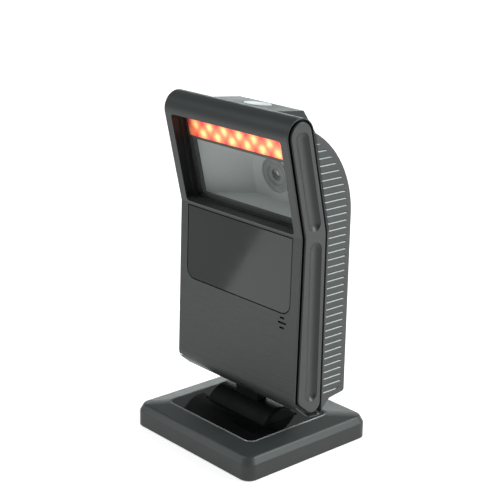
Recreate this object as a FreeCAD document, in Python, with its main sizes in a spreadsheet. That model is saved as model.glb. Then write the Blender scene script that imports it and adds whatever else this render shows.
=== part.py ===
"""Desktop presentation barcode scanner: a tilting head on a weighted base.

Frame: millimetres, +Z up, X across the width, the front faces -Y.
The origin is the middle of the base on the plane that its rubber feet stand on.
"""
import FreeCAD, Part
import math
import os
import Sketcher

os.makedirs("parts", exist_ok=True)
doc = FreeCAD.newDocument("Scanner")

# ---------------------------------------------------------------- driving dimensions
SIZES = [
    ("base_width", 80.0, "base across X"),
    ("base_depth", 74.5, "base along Y"),
    ("base_corner", 5.0, "plan radius of the base"),
    ("base_wall_top", 7.6, "height where the base's wall meets its bevel"),
    ("base_edge_top", 11.0, "height of the top of the bevel"),
    ("base_edge_inset", 1.6, "bevel, measured inwards"),
    ("base_top", 12.3, "height of the cover where it meets the inlay"),
    ("base_wall", 2.2, "wall of the base cover"),
    ("base_ceiling", 9.0, "height of the underside of the cover's top"),
    ("skirt_gap", 0.5, "gap under the base's skirt"),
    ("inlay_width", 58.6, "glossy inlay across X"),
    ("inlay_front", 26.7, "inlay edge in front of the middle"),
    ("inlay_back", 22.5, "inlay edge behind the middle"),
    ("inlay_corner", 4.0, "inlay corner radius"),
    ("inlay_recess", 1.1, "depth of the recess the inlay sits in"),
    ("inlay_proud", 0.15, "how far the inlay stands above its recess"),
    ("plate_thick", 2.5, "bottom plate"),
    ("fit_gap", 0.15, "gap between parts that drop into each other"),
    ("thread_gap", 0.05, "gap round a screw's thread"),
    ("run_gap", 0.05, "radial gap of a running fit"),
    ("weight_width", 52.0, "steel weight across X"),
    ("weight_depth", 62.0, "steel weight along Y"),
    ("weight_thick", 5.0, "steel weight"),
    ("foot_radius", 5.0, "rubber foot"),
    ("foot_sink", 0.8, "depth of the foot's seat"),
    ("foot_x", 25.0, "foot from the middle"),
    ("foot_y", 24.0, "foot from the middle"),
    ("post_x", 32.5, "base screw from the middle"),
    ("post_y", 29.8, "base screw from the middle"),
    ("post_radius", 3.2, "screw post of the cover"),
    ("base_screw_radius", 1.25, "base screw thread"),
    ("hinge_z", 28.0, "height of the tilt axis, over the middle of the base"),
    ("tilt_back", 30.0, "degrees the head tilts back"),
    ("tilt_forward", 10.0, "degrees the head tilts forward"),
    ("hump_width", 41.0, "saddle of the neck across X"),
    ("hump_radius", 11.0, "saddle radius"),
    ("hump_top", 18.3, "top of the saddle"),
    ("column_width", 15.0, "neck column across X"),
    ("column_thick", 5.6, "neck column along Y"),
    ("barrel_radius", 4.5, "hinge barrel"),
    ("bush_wall", 0.9, "hinge bush"),
    ("shaft_radius", 2.5, "tilt shaft"),
    ("neck_screw_radius", 1.5, "neck screw thread"),
    ("neck_screw_x", 14.0, "neck screw from the middle"),
    ("neck_screw_y", 3.6, "neck screw from the middle"),
    ("head_width", 80.6, "head across X"),
    ("knee_y", -9.5, "front face at the knee"),
    ("knee_z", 105.3, "height of the knee"),
    ("lower_lean", 1.2, "degrees the lower face leans back"),
    ("upper_lean", 12.9, "degrees the window face leans forward"),
    ("window_run", 43.7, "window face from the knee to the top bar"),
    ("bar_radius", 7.73, "round top bar"),
    ("band_rear", 6.2, "rear of the front band"),
    ("chin_front", 28.6, "height of the front of the chin"),
    ("chin_low_y", -2.5, "where the chin's slope ends"),
    ("chin_low", 21.3, "height there"),
    ("chin_rear", 20.5, "height of the rear of the chin"),
    ("shell_wall", 2.0, "wall of the head's shells"),
    ("cap_recess", 2.2, "depth of the side caps' recesses"),
    ("cap_rim", 0.5, "rim round a side cap's recess"),
    ("cap_inset", 1.7, "side cap inside the band's outline"),
    ("cap_shift", 0.6, "side cap set back, so its front gap is the wide one"),
    ("groove_half", 3.7, "half the width of a side cap's grip groove"),
    ("groove_depth", 1.5, "grip groove of a side cap"),
    ("groove_y", -0.9, "lower groove's middle"),
    ("back_y", 20.4, "rear face of the head"),
    ("back_radius", 44.4, "curve of the upper back"),
    ("back_arc_z", 111.0, "height where the upper back starts to curve"),
    ("heel_y", 9.9, "where the heel's step ends"),
    ("heel_z", 26.6, "height there"),
    ("heel_low", 23.6, "height where the heel meets the band"),
    ("heel_rear", 28.0, "height of the heel's rear edge"),
    ("rib_pitch", 3.27, "ribs of the side"),
    ("rib_height", 0.8, "groove between ribs"),
    ("rib_lip", 0.32, "sloping lower lip of a side groove"),
    ("rib_depth", 0.55, "groove between ribs"),
    ("rib_first", 30.4, "height of the lowest groove"),
    ("rib_margin", 3.1, "plain border behind the ribs"),
    ("deck_z", 156.6, "front edge of the top deck"),
    ("deck_front", -9.4, "front edge of the top deck"),
    ("deck_back", 8.6, "rear edge of the top deck"),
    ("deck_side", 19.5, "flat of the top deck from the head's side"),
    ("deck_slope", 5.8, "degrees the deck falls to the rear"),
    ("flank_slope", 19.8, "degrees the deck's flanks fall to the sides"),
    ("flank_end", 1.4, "where a flank's rear edge ends, in from the head's side"),
    ("flank_back", -1.5, "rear edge of a flank where it ends"),
    ("button_y", 0.6, "top button from the tilt axis"),
    ("button_radius", 6.4, "top button"),
    ("button_travel", 0.8, "travel of the top button"),
    ("button_proud", 0.15, "top button above the deck"),
    ("button_gap", 0.3, "gap round the top button"),
    ("button_rim", 0.8, "rim that keeps the top button in"),
    ("open_side", 4.4, "frame beside the window opening"),
    ("open_low", 0.8, "window opening above the knee, along the slope"),
    ("open_high", 43.4, "top of the window opening, along the slope"),
    ("open_corner", 1.5, "corner radius of the window opening"),
    ("reveal", 4.2, "depth of the window reveal"),
    ("gasket_wall", 1.0, "gasket outside the opening"),
    ("gasket_lip", 0.9, "gasket inside the opening"),
    ("gasket_depth", 3.0, "gasket, front to back"),
    ("pane_thick", 1.5, "scan window"),
    ("frame_depth", 4.0, "light frame, front to back"),
    ("led_low", 30.6, "light bar, along the slope"),
    ("led_high", 38.6, "light bar, along the slope"),
    ("led_margin", 5.2, "outer light from the end of its board"),
    ("chamber_back", 25.0, "depth of the reading chamber's back wall"),
    ("chamber_half", 15.4, "half the back wall of the chamber"),
    ("chamber_wall", 1.2, "wall of the chamber"),
    ("chamber_high", 23.0, "top of the chamber's back wall"),
    ("lens_height", 11.1, "camera lens above the knee, along the slope"),
    ("lens_ring_radius", 8.5, "stepped ring round the lens"),
    ("lens_radius", 2.8, "camera lens"),
    ("panel_side", 5.5, "frame beside the front panel"),
    ("panel_low", 69.5, "lower edge of the front panel"),
    ("panel_high", 104.2, "upper edge of the front panel"),
    ("panel_corner", 5.0, "lower corners of the front panel"),
    ("panel_thick", 1.1, "front panel"),
    ("panel_gap", 0.35, "dark line round the front panel"),
    ("slot_side", 9.9, "sound slots from the head's side"),
    ("slot_z", 65.1, "height of the middle sound slot"),
    ("slot_pitch", 2.3, "spacing of the sound slots"),
    ("slot_long", 5.2, "middle sound slot"),
    ("slot_short", 2.8, "outer sound slots"),
    ("slot_height", 0.9, "sound slots"),
    ("buzzer_radius", 4.5, "buzzer"),
    ("board_y", 7.0, "front of the main board"),
    ("board_thick", 1.6, "main board"),
    ("board_side", 14.3, "main board from the head's side"),
    ("board_low", 34.0, "lower edge of the main board"),
    ("board_high", 96.0, "upper edge of the main board"),
    ("boss_side", 9.0, "housing screws from the head's side"),
    ("boss_low", 41.0, "height of the lower housing screws"),
    ("boss_high", 98.0, "height of the upper housing screws"),
    ("boss_radius", 3.4, "housing screw bosses"),
    ("head_screw_radius", 1.25, "housing and board screw thread"),
    ("socket_z", 40.0, "height of the cable socket"),
    ("socket_wide", 11.8, "cable socket opening"),
    ("socket_tall", 6.8, "cable socket opening"),
    ("bracket_thick", 2.0, "steel hinge bracket"),
]
sheet = doc.addObject("Spreadsheet::Sheet", "Sizes")
VALUES = {}
for row, (alias, number, meaning) in enumerate(SIZES, start=1):
    sheet.set(f"A{row}", str(number))
    sheet.setAlias(f"A{row}", alias)
    sheet.set(f"B{row}", meaning)
    VALUES[alias] = number
doc.recompute()


class Size:
    """A length: its value now, and the expression over the sheet that keeps it true."""

    def __init__(self, value, text):
        self.value = float(value)
        self.text = text

    def __add__(self, other):
        other = size(other)
        return Size(self.value + other.value, f"({self.text} + {other.text})")

    def __sub__(self, other):
        other = size(other)
        return Size(self.value - other.value, f"({self.text} - {other.text})")

    def __mul__(self, other):
        other = size(other)
        return Size(self.value * other.value, f"({self.text} * {other.text})")

    def __truediv__(self, other):
        other = size(other)
        return Size(self.value / other.value, f"({self.text} / {other.text})")

    def __radd__(self, other):
        return size(other) + self

    def __rsub__(self, other):
        return size(other) - self

    def __rmul__(self, other):
        return size(other) * self

    def __neg__(self):
        return size(0) - self


def size(number):
    """A plain number as a Size."""
    return number if isinstance(number, Size) else Size(number, repr(float(number)))


def cell(alias):
    """A Size read from the sheet."""
    return Size(VALUES[alias], f"Sizes.{alias}")


def turn(function, degrees):
    """sin, cos or tan of a Size in degrees."""
    value = getattr(math, function)(math.radians(degrees.value))
    return Size(value, f"{function}({degrees.text} * 1 deg)")


def root(number):
    """Square root of a Size."""
    return Size(math.sqrt(number.value), f"sqrt({number.text})")


def bind(thing, path, number):
    """Bind one property of an object to the sheet."""
    thing.setExpression(path, size(number).text)


# ---------------------------------------------------------------- modelling helpers
NORMAL_SIGN = {"XY": 1, "XZ": -1, "YZ": 1}
cuts = []
nodes = {}


def new_body(label):
    """A PartDesign body that becomes the node of the same name."""
    made = doc.addObject("PartDesign::Body", label)
    made.Label = label
    nodes[label] = made
    return made


def helper_body(label):
    """A PartDesign body used only as an operand of a boolean."""
    made = doc.addObject("PartDesign::Body", label)
    made.Label = label
    return made


def origin_plane(body, plane):
    return next(item for item in body.Origin.OriginFeatures if item.Role == plane + "_Plane")


def new_sketch(body, plane, level=0.0, tilt=None, up=0.0, along=0.0):
    """A sketch on one of the body's origin planes, shifted along its normal.

    level is the world coordinate along the plane's normal axis, up the shift of the
    sketch's own Y, along that of its own X, and tilt turns it about its own X, in degrees.
    """
    sketch = body.newObject("Sketcher::SketchObject", body.Label + "_sketch")
    sketch.AttachmentSupport = [(origin_plane(body, plane), "")]
    sketch.MapMode = "FlatFace"
    if tilt is not None:
        axis = FreeCAD.Vector(1, 0, 0)
        sketch.AttachmentOffset = FreeCAD.Placement(FreeCAD.Vector(), FreeCAD.Rotation(axis, tilt.value))
        sketch.setExpression("AttachmentOffset.Rotation.Angle", f"{tilt.text} * 1 deg")
    bind(sketch, "AttachmentOffset.Base.x", along)
    bind(sketch, "AttachmentOffset.Base.y", up)
    bind(sketch, "AttachmentOffset.Base.z", size(level) * NORMAL_SIGN[plane])
    return sketch


def dimension(sketch, kind, first, second, number):
    """One driving dimension of a sketch, bound to the sheet."""
    number = size(number)
    index = sketch.addConstraint(Sketcher.Constraint(kind, *first, *second, number.value))
    sketch.setExpression(f"Constraints[{index}]", number.text)


def pin_point(sketch, geometry, position, x, y):
    """Fix a point of a sketch by its two coordinates."""
    dimension(sketch, "DistanceX", (-1, 1), (geometry, position), x)
    dimension(sketch, "DistanceY", (-1, 1), (geometry, position), y)


def vector(x, y):
    return FreeCAD.Vector(size(x).value, size(y).value, 0)


def polygon(sketch, points):
    """A closed outline of straight lines."""
    first = sketch.GeometryCount
    count = len(points)
    for index, start in enumerate(points):
        end = points[(index + 1) % count]
        sketch.addGeometry(Part.LineSegment(vector(*start), vector(*end)))
    for index in range(count):
        following = first + (index + 1) % count
        sketch.addConstraint(Sketcher.Constraint("Coincident", first + index, 2, following, 1))
    for index, point in enumerate(points):
        pin_point(sketch, first + index, 1, *point)


def rectangle(sketch, left, bottom, right, top):
    polygon(sketch, [(left, bottom), (right, bottom), (right, top), (left, top)])


def circle(sketch, x, y, radius):
    index = sketch.addGeometry(Part.Circle(vector(x, y), FreeCAD.Vector(0, 0, 1), size(radius).value))
    pin_point(sketch, index, 3, x, y)
    dimension(sketch, "Radius", (index,), (), radius)


def arc(sketch, x, y, radius, start, end):
    """An arc given by its centre, radius and the values of its two angles in degrees."""
    whole = Part.Circle(vector(x, y), FreeCAD.Vector(0, 0, 1), size(radius).value)
    made = Part.ArcOfCircle(whole, math.radians(start), math.radians(end))
    return sketch.addGeometry(made)


def rounded_rectangle(sketch, left, bottom, right, top, radius):
    """A rectangle with four equal tangent corner arcs."""
    left, bottom, right, top, radius = (size(item) for item in (left, bottom, right, top, radius))
    first = sketch.GeometryCount
    sides = [
        ((left + radius, bottom), (right - radius, bottom)),
        ((right, bottom + radius), (right, top - radius)),
        ((right - radius, top), (left + radius, top)),
        ((left, top - radius), (left, bottom + radius)),
    ]
    for start, end in sides:
        sketch.addGeometry(Part.LineSegment(vector(*start), vector(*end)))
    centres = [
        (right - radius, bottom + radius, 270, 360),
        (right - radius, top - radius, 0, 90),
        (left + radius, top - radius, 90, 180),
        (left + radius, bottom + radius, 180, 270),
    ]
    for x, y, start, end in centres:
        arc(sketch, x, y, radius, start, end)
    for index in range(4):
        corner = first + 4 + index
        sketch.addConstraint(Sketcher.Constraint("Tangent", first + index, 2, corner, 1))
        sketch.addConstraint(Sketcher.Constraint("Tangent", corner, 2, first + (index + 1) % 4, 1))
        direction = "Horizontal" if index % 2 == 0 else "Vertical"
        sketch.addConstraint(Sketcher.Constraint(direction, first + index))
    for index in range(1, 4):
        sketch.addConstraint(Sketcher.Constraint("Equal", first + 4, first + 4 + index))
    dimension(sketch, "Radius", (first + 4,), (), radius)
    dimension(sketch, "DistanceY", (-1, 1), (first, 1), bottom)
    dimension(sketch, "DistanceX", (-1, 1), (first + 1, 1), right)
    dimension(sketch, "DistanceY", (-1, 1), (first + 2, 1), top)
    dimension(sketch, "DistanceX", (-1, 1), (first + 3, 1), left)


def add(body, sketch, length, middle=False, reverse=False):
    """Pad a sketch, or spread it both ways from its plane."""
    pad = body.newObject("PartDesign::Pad", body.Label + "_pad")
    pad.Profile = sketch
    pad.Midplane = middle
    pad.Reversed = reverse
    bind(pad, "Length", length)
    sketch.Visibility = False
    return pad


def cut(body, sketch, length, middle=False, along_normal=False):
    """Pocket a sketch; by default it goes against the sketch's normal."""
    pocket = body.newObject("PartDesign::Pocket", body.Label + "_pocket")
    pocket.Profile = sketch
    pocket.Midplane = middle
    pocket.Reversed = along_normal
    bind(pocket, "Length", length)
    cuts.append(pocket)
    return pocket


def spin(body, sketch, axis, groove=False):
    """Turn a sketch fully about its own H_Axis or V_Axis."""
    kind = "PartDesign::Groove" if groove else "PartDesign::Revolution"
    made = body.newObject(kind, body.Label + "_turned")
    made.Profile = sketch
    made.ReferenceAxis = (sketch, [axis])
    made.Angle = 360.0
    if groove:
        cuts.append(made)
    return made


def edges_where(body, test):
    """Names of the tip's edges that pass a test."""
    doc.recompute()
    edges = body.Tip.Shape.Edges
    return [f"Edge{index}" for index, edge in enumerate(edges, start=1) if test(edge)]


def round_edges(body, radius, test):
    names = edges_where(body, test)
    if not names:
        raise RuntimeError("no edge to round on " + body.Label)
    tip = body.Tip
    fillet = body.newObject("PartDesign::Fillet", body.Label + "_fillet")
    fillet.Base = (tip, names)
    bind(fillet, "Radius", radius)
    doc.recompute()


def bevel_edges(body, amount, test):
    names = edges_where(body, test)
    if not names:
        raise RuntimeError("no edge to bevel on " + body.Label)
    tip = body.Tip
    chamfer = body.newObject("PartDesign::Chamfer", body.Label + "_chamfer")
    chamfer.Base = (tip, names)
    bind(chamfer, "Size", amount)
    doc.recompute()


def on_plane(edge, axis, level, slack=0.02):
    """Whether the whole edge lies at one coordinate."""
    box = edge.BoundBox
    low = (box.XMin, box.YMin, box.ZMin)[axis]
    high = (box.XMax, box.YMax, box.ZMax)[axis]
    return abs(low - level) < slack and abs(high - level) < slack


def stand_on_front(body, lean, y, z):
    """Place a body whose own XY plane is a front face: x across, y up the slope, z outwards."""
    across = FreeCAD.Vector(1, 0, 0)
    body.Placement = FreeCAD.Placement(FreeCAD.Vector(), FreeCAD.Rotation(across, 90 + lean.value))
    bind(body, "Placement.Base.y", y)
    bind(body, "Placement.Base.z", z)
    body.setExpression("Placement.Rotation.Angle", f"(90 + {lean.text}) * 1 deg")


def screws(label, plane, places, head_radius, head_thick, shank_radius, shank_length, reverse=False):
    """A group of equal screws, each turned about its own axis, with a hex socket.

    Each place is (x, across, level): level is where the underside of the head lies along the
    screw's axis. The shank points to the low end of that axis, or to the high end if reversed.
    """
    body = new_body(label)
    sign = -1 if reverse else 1
    turned_plane = {"Z": "XZ", "Y": "XY"}[plane]
    for x, across, level in places:
        sketch = new_sketch(body, turned_plane, across, up=level, along=x)
        head = size(head_thick) * sign
        shank = size(shank_length) * -sign
        polygon(sketch, [(0, shank), (shank_radius, shank), (shank_radius, 0), (head_radius, 0),
                         (head_radius, head), (0, head)])
        spin(body, sketch, "V_Axis")
    socket_plane = {"Z": "XY", "Y": "XZ"}[plane]
    for x, across, level in places:
        top = size(level) + size(head_thick) * sign
        sketch = new_sketch(body, socket_plane, top)
        reach = size(head_radius) * 0.5
        points = []
        for corner in range(6):
            angle = size(60 * corner)
            points.append((size(x) + reach * turn("cos", angle), size(across) + reach * turn("sin", angle)))
        polygon(sketch, points)
        outward = sign * NORMAL_SIGN[socket_plane] > 0
        cut(body, sketch, size(head_thick) * 0.6, along_normal=not outward)
    return body


def corners(x, y):
    """The four places (+-x, +-y)."""
    return [(sx * x, sy * y) for sx in (-1, 1) for sy in (-1, 1)]


# ---------------------------------------------------------------- shared sizes
half_width = cell("base_width") / 2
half_depth = cell("base_depth") / 2
recess_floor = cell("base_top") - cell("inlay_recess")
plate_top = cell("skirt_gap") + cell("plate_thick")
hinge_z = cell("hinge_z")
column_half = cell("column_width") / 2
slot_half = column_half + 0.5

head_half = cell("head_width") / 2
knee_y = cell("knee_y")
knee_z = cell("knee_z")
lean = cell("upper_lean")
back_lean = -cell("lower_lean")
sin_lean = turn("sin", lean)
cos_lean = turn("cos", lean)
bar_radius = cell("bar_radius")
wall = cell("shell_wall")
inner_half = head_half - cell("cap_recess") - wall
open_half = head_half - cell("open_side")
panel_half = head_half - cell("panel_side")
slot_x = head_half - cell("slot_side")
board_half = head_half - cell("board_side")
boss_x = head_half - cell("boss_side")
deck_half = head_half - cell("deck_side")
seat_back = cell("reveal") + cell("gasket_depth")
frame_front = seat_back + 0.1
frame_back = frame_front + cell("frame_depth")


def on_slope(rise, depth):
    """World (y, z) of a point of the window face: rise up the slope from the knee, depth inwards."""
    rise = size(rise)
    depth = size(depth)
    return knee_y - rise * sin_lean + depth * cos_lean, knee_z + rise * cos_lean + depth * sin_lean


def face_y(z):
    """Front face of the lower band at a height."""
    return knee_y - (knee_z - size(z)) * turn("tan", cell("lower_lean"))


bar_y, bar_z = on_slope(cell("window_run"), bar_radius)


# ---------------------------------------------------------------- base
def base_cover():
    body = new_body("base_cover")
    inset = cell("base_edge_inset")
    sections = []
    crown_x = cell("inlay_width") / 2 + 0.6
    levels = [
        (cell("skirt_gap"), half_width, half_depth, cell("base_corner")),
        (cell("base_wall_top"), half_width, half_depth, cell("base_corner")),
        (cell("base_edge_top"), half_width - inset, half_depth - inset, cell("base_corner") - inset * 0.5),
    ]
    for level, x, y, radius in levels:
        sketch = new_sketch(body, "XY", level)
        rounded_rectangle(sketch, -x, -y, x, y, radius)
        sections.append(sketch)
    top = new_sketch(body, "XY", cell("base_top"))
    rounded_rectangle(top, -crown_x, -cell("inlay_front") - 0.6, crown_x, cell("inlay_back") + 0.6,
                      cell("inlay_corner") + 0.6)
    sections.append(top)
    loft = body.newObject("PartDesign::AdditiveLoft", "cover_loft")
    loft.Profile = sections[0]
    loft.Sections = sections[1:]
    loft.Ruled = True

    hollow = new_sketch(body, "XY", cell("skirt_gap"))
    x = half_width - cell("base_wall")
    y = half_depth - cell("base_wall")
    rounded_rectangle(hollow, -x, -y, x, y, cell("base_corner") - cell("base_wall") * 0.8)
    cut(body, hollow, cell("base_ceiling") - cell("skirt_gap"), along_normal=True)

    recess = new_sketch(body, "XY", recess_floor)
    x = cell("inlay_width") / 2 + cell("fit_gap")
    rounded_rectangle(recess, -x, -cell("inlay_front") - cell("fit_gap"), x,
                      cell("inlay_back") + cell("fit_gap"), cell("inlay_corner") + cell("fit_gap"))
    cut(body, recess, cell("inlay_recess") + 1, along_normal=True)

    for height, radius in ((cell("base_edge_top"), 1.2), (cell("base_wall_top"), 1.6)):
        ring = height.value
        round_edges(body, radius, lambda edge, ring=ring: on_plane(edge, 2, ring))

    posts = new_sketch(body, "XY", plate_top)
    for x, y in corners(cell("post_x"), cell("post_y")):
        circle(posts, x, y, cell("post_radius"))
    add(body, posts, cell("base_ceiling") - plate_top)
    pilots = new_sketch(body, "XY", plate_top)
    for x, y in corners(cell("post_x"), cell("post_y")):
        circle(pilots, x, y, cell("base_screw_radius") + cell("thread_gap"))
    cut(body, pilots, 6.5, along_normal=True)

    holes = new_sketch(body, "XY", cell("base_ceiling") - 0.5)
    for x, y in corners(cell("neck_screw_x"), cell("neck_screw_y")):
        circle(holes, x, y, cell("neck_screw_radius") + 0.2)
    cut(body, holes, 6, along_normal=True)


def base_inlay():
    body = new_body("base_inlay")
    plate = new_sketch(body, "XY", recess_floor)
    x = cell("inlay_width") / 2
    rounded_rectangle(plate, -x, -cell("inlay_front"), x, cell("inlay_back"), cell("inlay_corner"))
    thick = cell("inlay_recess") + cell("inlay_proud")
    add(body, plate, thick)
    top = (recess_floor + thick).value
    bevel_edges(body, 0.3, lambda edge: on_plane(edge, 2, top))
    gap = new_sketch(body, "XY", recess_floor)
    x = cell("hump_width") / 2 + cell("fit_gap")
    y = saddle_half() + cell("fit_gap")
    rectangle(gap, -x, -y, x, y)
    cut(body, gap, 3, along_normal=True)


def saddle_half():
    """Half the saddle's depth where it stands on the cover."""
    centre = cell("hump_top") - cell("hump_radius")
    drop = recess_floor - centre
    return root(cell("hump_radius") * cell("hump_radius") - drop * drop)


def base_weight():
    body = new_body("base_weight")
    bottom = cell("base_ceiling") - cell("weight_thick")
    plate = new_sketch(body, "XY", bottom)
    x = cell("weight_width") / 2
    y = cell("weight_depth") / 2
    rounded_rectangle(plate, -x, -y, x, y, 3)
    add(body, plate, cell("weight_thick"))
    holes = new_sketch(body, "XY", bottom)
    for x, y in corners(cell("neck_screw_x"), cell("neck_screw_y")):
        circle(holes, x, y, cell("neck_screw_radius") + 0.2)
    cut(body, holes, 8, along_normal=True)
    sinks = new_sketch(body, "XY", bottom)
    for x, y in corners(cell("neck_screw_x"), cell("neck_screw_y")):
        circle(sinks, x, y, cell("neck_screw_radius") * 2 + 0.1)
    cut(body, sinks, 2.5, along_normal=True)
    bevel_edges(body, 0.4, lambda edge: on_plane(edge, 2, bottom.value) and edge.Length > 8)


def bottom_plate():
    body = new_body("bottom_plate")
    plate = new_sketch(body, "XY", cell("skirt_gap"))
    x = half_width - cell("base_wall") - cell("fit_gap")
    y = half_depth - cell("base_wall") - cell("fit_gap")
    rounded_rectangle(plate, -x, -y, x, y, cell("base_corner") - cell("base_wall") * 0.8)
    add(body, plate, cell("plate_thick"))
    seats = new_sketch(body, "XY", cell("skirt_gap"))
    for x, y in corners(cell("foot_x"), cell("foot_y")):
        circle(seats, x, y, cell("foot_radius") + cell("fit_gap"))
    cut(body, seats, cell("foot_sink"), along_normal=True)
    holes = new_sketch(body, "XY", cell("skirt_gap"))
    for x, y in corners(cell("post_x"), cell("post_y")):
        circle(holes, x, y, cell("base_screw_radius") + 0.2)
    cut(body, holes, 5, along_normal=True)
    sinks = new_sketch(body, "XY", cell("skirt_gap"))
    for x, y in corners(cell("post_x"), cell("post_y")):
        circle(sinks, x, y, cell("base_screw_radius") * 2 + 0.3)
    cut(body, sinks, 1.4, along_normal=True)


def rubber_feet():
    body = new_body("rubber_feet")
    feet = new_sketch(body, "XY", 0)
    for x, y in corners(cell("foot_x"), cell("foot_y")):
        circle(feet, x, y, cell("foot_radius"))
    add(body, feet, cell("skirt_gap") + cell("foot_sink"))
    bevel_edges(body, 0.25, lambda edge: on_plane(edge, 2, 0))


def neck():
    """Saddle on the cover, a column and the hinge barrel, in one moulding."""
    body = new_body("neck")
    centre = cell("hump_top") - cell("hump_radius")
    half = saddle_half()
    saddle = new_sketch(body, "YZ", 0)
    middle = arc(saddle, 0, centre, cell("hump_radius"),
                 math.degrees(math.atan2((recess_floor - centre).value, half.value)),
                 180 - math.degrees(math.atan2((recess_floor - centre).value, half.value)))
    base = saddle.addGeometry(Part.LineSegment(vector(-half, recess_floor), vector(half, recess_floor)))
    saddle.addConstraint(Sketcher.Constraint("Coincident", base, 2, middle, 1))
    saddle.addConstraint(Sketcher.Constraint("Coincident", middle, 2, base, 1))
    saddle.addConstraint(Sketcher.Constraint("Horizontal", base))
    pin_point(saddle, middle, 3, 0, centre)
    dimension(saddle, "Radius", (middle,), (), cell("hump_radius"))
    dimension(saddle, "DistanceY", (-1, 1), (base, 1), recess_floor)
    add(body, saddle, cell("hump_width"), middle=True)
    end = (cell("hump_width") / 2).value
    round_edges(body, 1.6, lambda edge: on_plane(edge, 0, end) and edge.Length > 22
                or on_plane(edge, 0, -end) and edge.Length > 22)
    column = new_sketch(body, "YZ", 0)
    rectangle(column, -cell("column_thick") / 2, cell("hump_top") - 3, cell("column_thick") / 2, hinge_z)
    add(body, column, cell("column_width"), middle=True)
    barrel = new_sketch(body, "YZ", 0)
    circle(barrel, 0, hinge_z, cell("barrel_radius"))
    add(body, barrel, cell("column_width"), middle=True)
    bore = new_sketch(body, "YZ", 0)
    circle(bore, 0, hinge_z, cell("shaft_radius") + cell("run_gap") + cell("bush_wall"))
    cut(body, bore, cell("column_width") + 2, middle=True)
    pilots = new_sketch(body, "XY", recess_floor)
    for x, y in corners(cell("neck_screw_x"), cell("neck_screw_y")):
        circle(pilots, x, y, cell("neck_screw_radius") + cell("thread_gap"))
    cut(body, pilots, 4.2, along_normal=True)


def hinge_bush():
    body = new_body("hinge_bush")
    ring = new_sketch(body, "YZ", 0)
    circle(ring, 0, hinge_z, cell("shaft_radius") + cell("run_gap") + cell("bush_wall"))
    circle(ring, 0, hinge_z, cell("shaft_radius") + cell("run_gap"))
    add(body, ring, cell("column_width"), middle=True)


def base_fasteners():
    level = cell("skirt_gap") + 1.4
    places = [(x, y, level) for x, y in corners(cell("post_x"), cell("post_y"))]
    radius = cell("base_screw_radius")
    screws("base_screws", "Z", places, radius * 2, 1.2, radius, 6.6, reverse=True)
    level = cell("base_ceiling") - cell("weight_thick") + 2.5
    places = [(x, y, level) for x, y in corners(cell("neck_screw_x"), cell("neck_screw_y"))]
    radius = cell("neck_screw_radius")
    screws("neck_screws", "Z", places, radius * 1.9, 2.2, radius, 8.4, reverse=True)


# ---------------------------------------------------------------- hinge, on the head's side
def tilt_shaft():
    body = new_body("tilt_shaft")
    profile = new_sketch(body, "XY", hinge_z)
    reach = shaft_reach()
    radius = cell("shaft_radius")
    groove = clip_place()
    polygon(profile, [(-reach, 0), (reach, 0), (reach, radius), (groove + 0.8, radius),
                      (groove + 0.8, radius - 0.6), (groove, radius - 0.6), (groove, radius),
                      (-groove, radius), (-groove, radius - 0.6), (-groove - 0.8, radius - 0.6),
                      (-groove - 0.8, radius), (-reach, radius)])
    spin(body, profile, "H_Axis")


def ear_inside():
    """Inner face of the hinge bracket's ears."""
    return column_half + 0.7


def clip_place():
    """Inner face of the shaft clips' grooves."""
    return ear_inside() + cell("bracket_thick") + 1.1


def shaft_reach():
    return clip_place() + 2


def ring_pair(label, inner, outer, place, thick):
    """Two equal rings round the tilt axis, one each side."""
    body = new_body(label)
    for side in (-1, 1):
        start = place if side > 0 else -(place + thick)
        sketch = new_sketch(body, "YZ", start)
        circle(sketch, 0, hinge_z, outer)
        circle(sketch, 0, hinge_z, inner)
        add(body, sketch, thick)


def hinge_rings():
    radius = cell("shaft_radius")
    ring_pair("friction_washers", radius + 0.1, size(4.3), column_half + 0.05, size(0.6))
    ring_pair("spring_washers", radius + 0.1, size(4.3), ear_inside() + cell("bracket_thick") + 0.05,
              size(1.0))
    ring_pair("shaft_clips", radius - 0.55, size(3.9), clip_place() + 0.1, size(0.6))


def hinge_bracket():
    """Bent steel: two ears on the tilt axis and a web screwed to the front shell."""
    body = new_body("hinge_bracket")
    inside = ear_inside()
    thick = cell("bracket_thick")
    web = new_sketch(body, "XZ", bracket_front())
    rectangle(web, -bracket_half(), 36.5, bracket_half(), bracket_top())
    add(body, web, 1.6, reverse=True)
    for side in (-1, 1):
        start = inside if side > 0 else -(inside + thick)
        arm = new_sketch(body, "YZ", start)
        polygon(arm, [(-3.6, hinge_z), (4.2, hinge_z), (bracket_front() + 1.6, 33.5),
                      (bracket_front() + 1.6, bracket_top()), (1.0, bracket_top()), (-3.6, 34)])
        add(body, arm, thick)
        ear = new_sketch(body, "YZ", start)
        circle(ear, 0, hinge_z, 4.3)
        add(body, ear, thick)
    bore = new_sketch(body, "YZ", 0)
    circle(bore, 0, hinge_z, cell("shaft_radius") + 0.02)
    cut(body, bore, (inside + thick) * 2 + 2, middle=True)
    holes = new_sketch(body, "XZ", bracket_front())
    for side in (-1, 1):
        circle(holes, side * bracket_screw_x(), bracket_screw_z(), cell("head_screw_radius") + 0.2)
    cut(body, holes, 5, middle=True)


def bracket_front():
    return size(3.6)


def bracket_half():
    return ear_inside() + cell("bracket_thick") + 8.0


def bracket_top():
    return size(46.0)


def bracket_screw_x():
    return bracket_half() - 3.6


def bracket_screw_z():
    return size(42.0)


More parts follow.
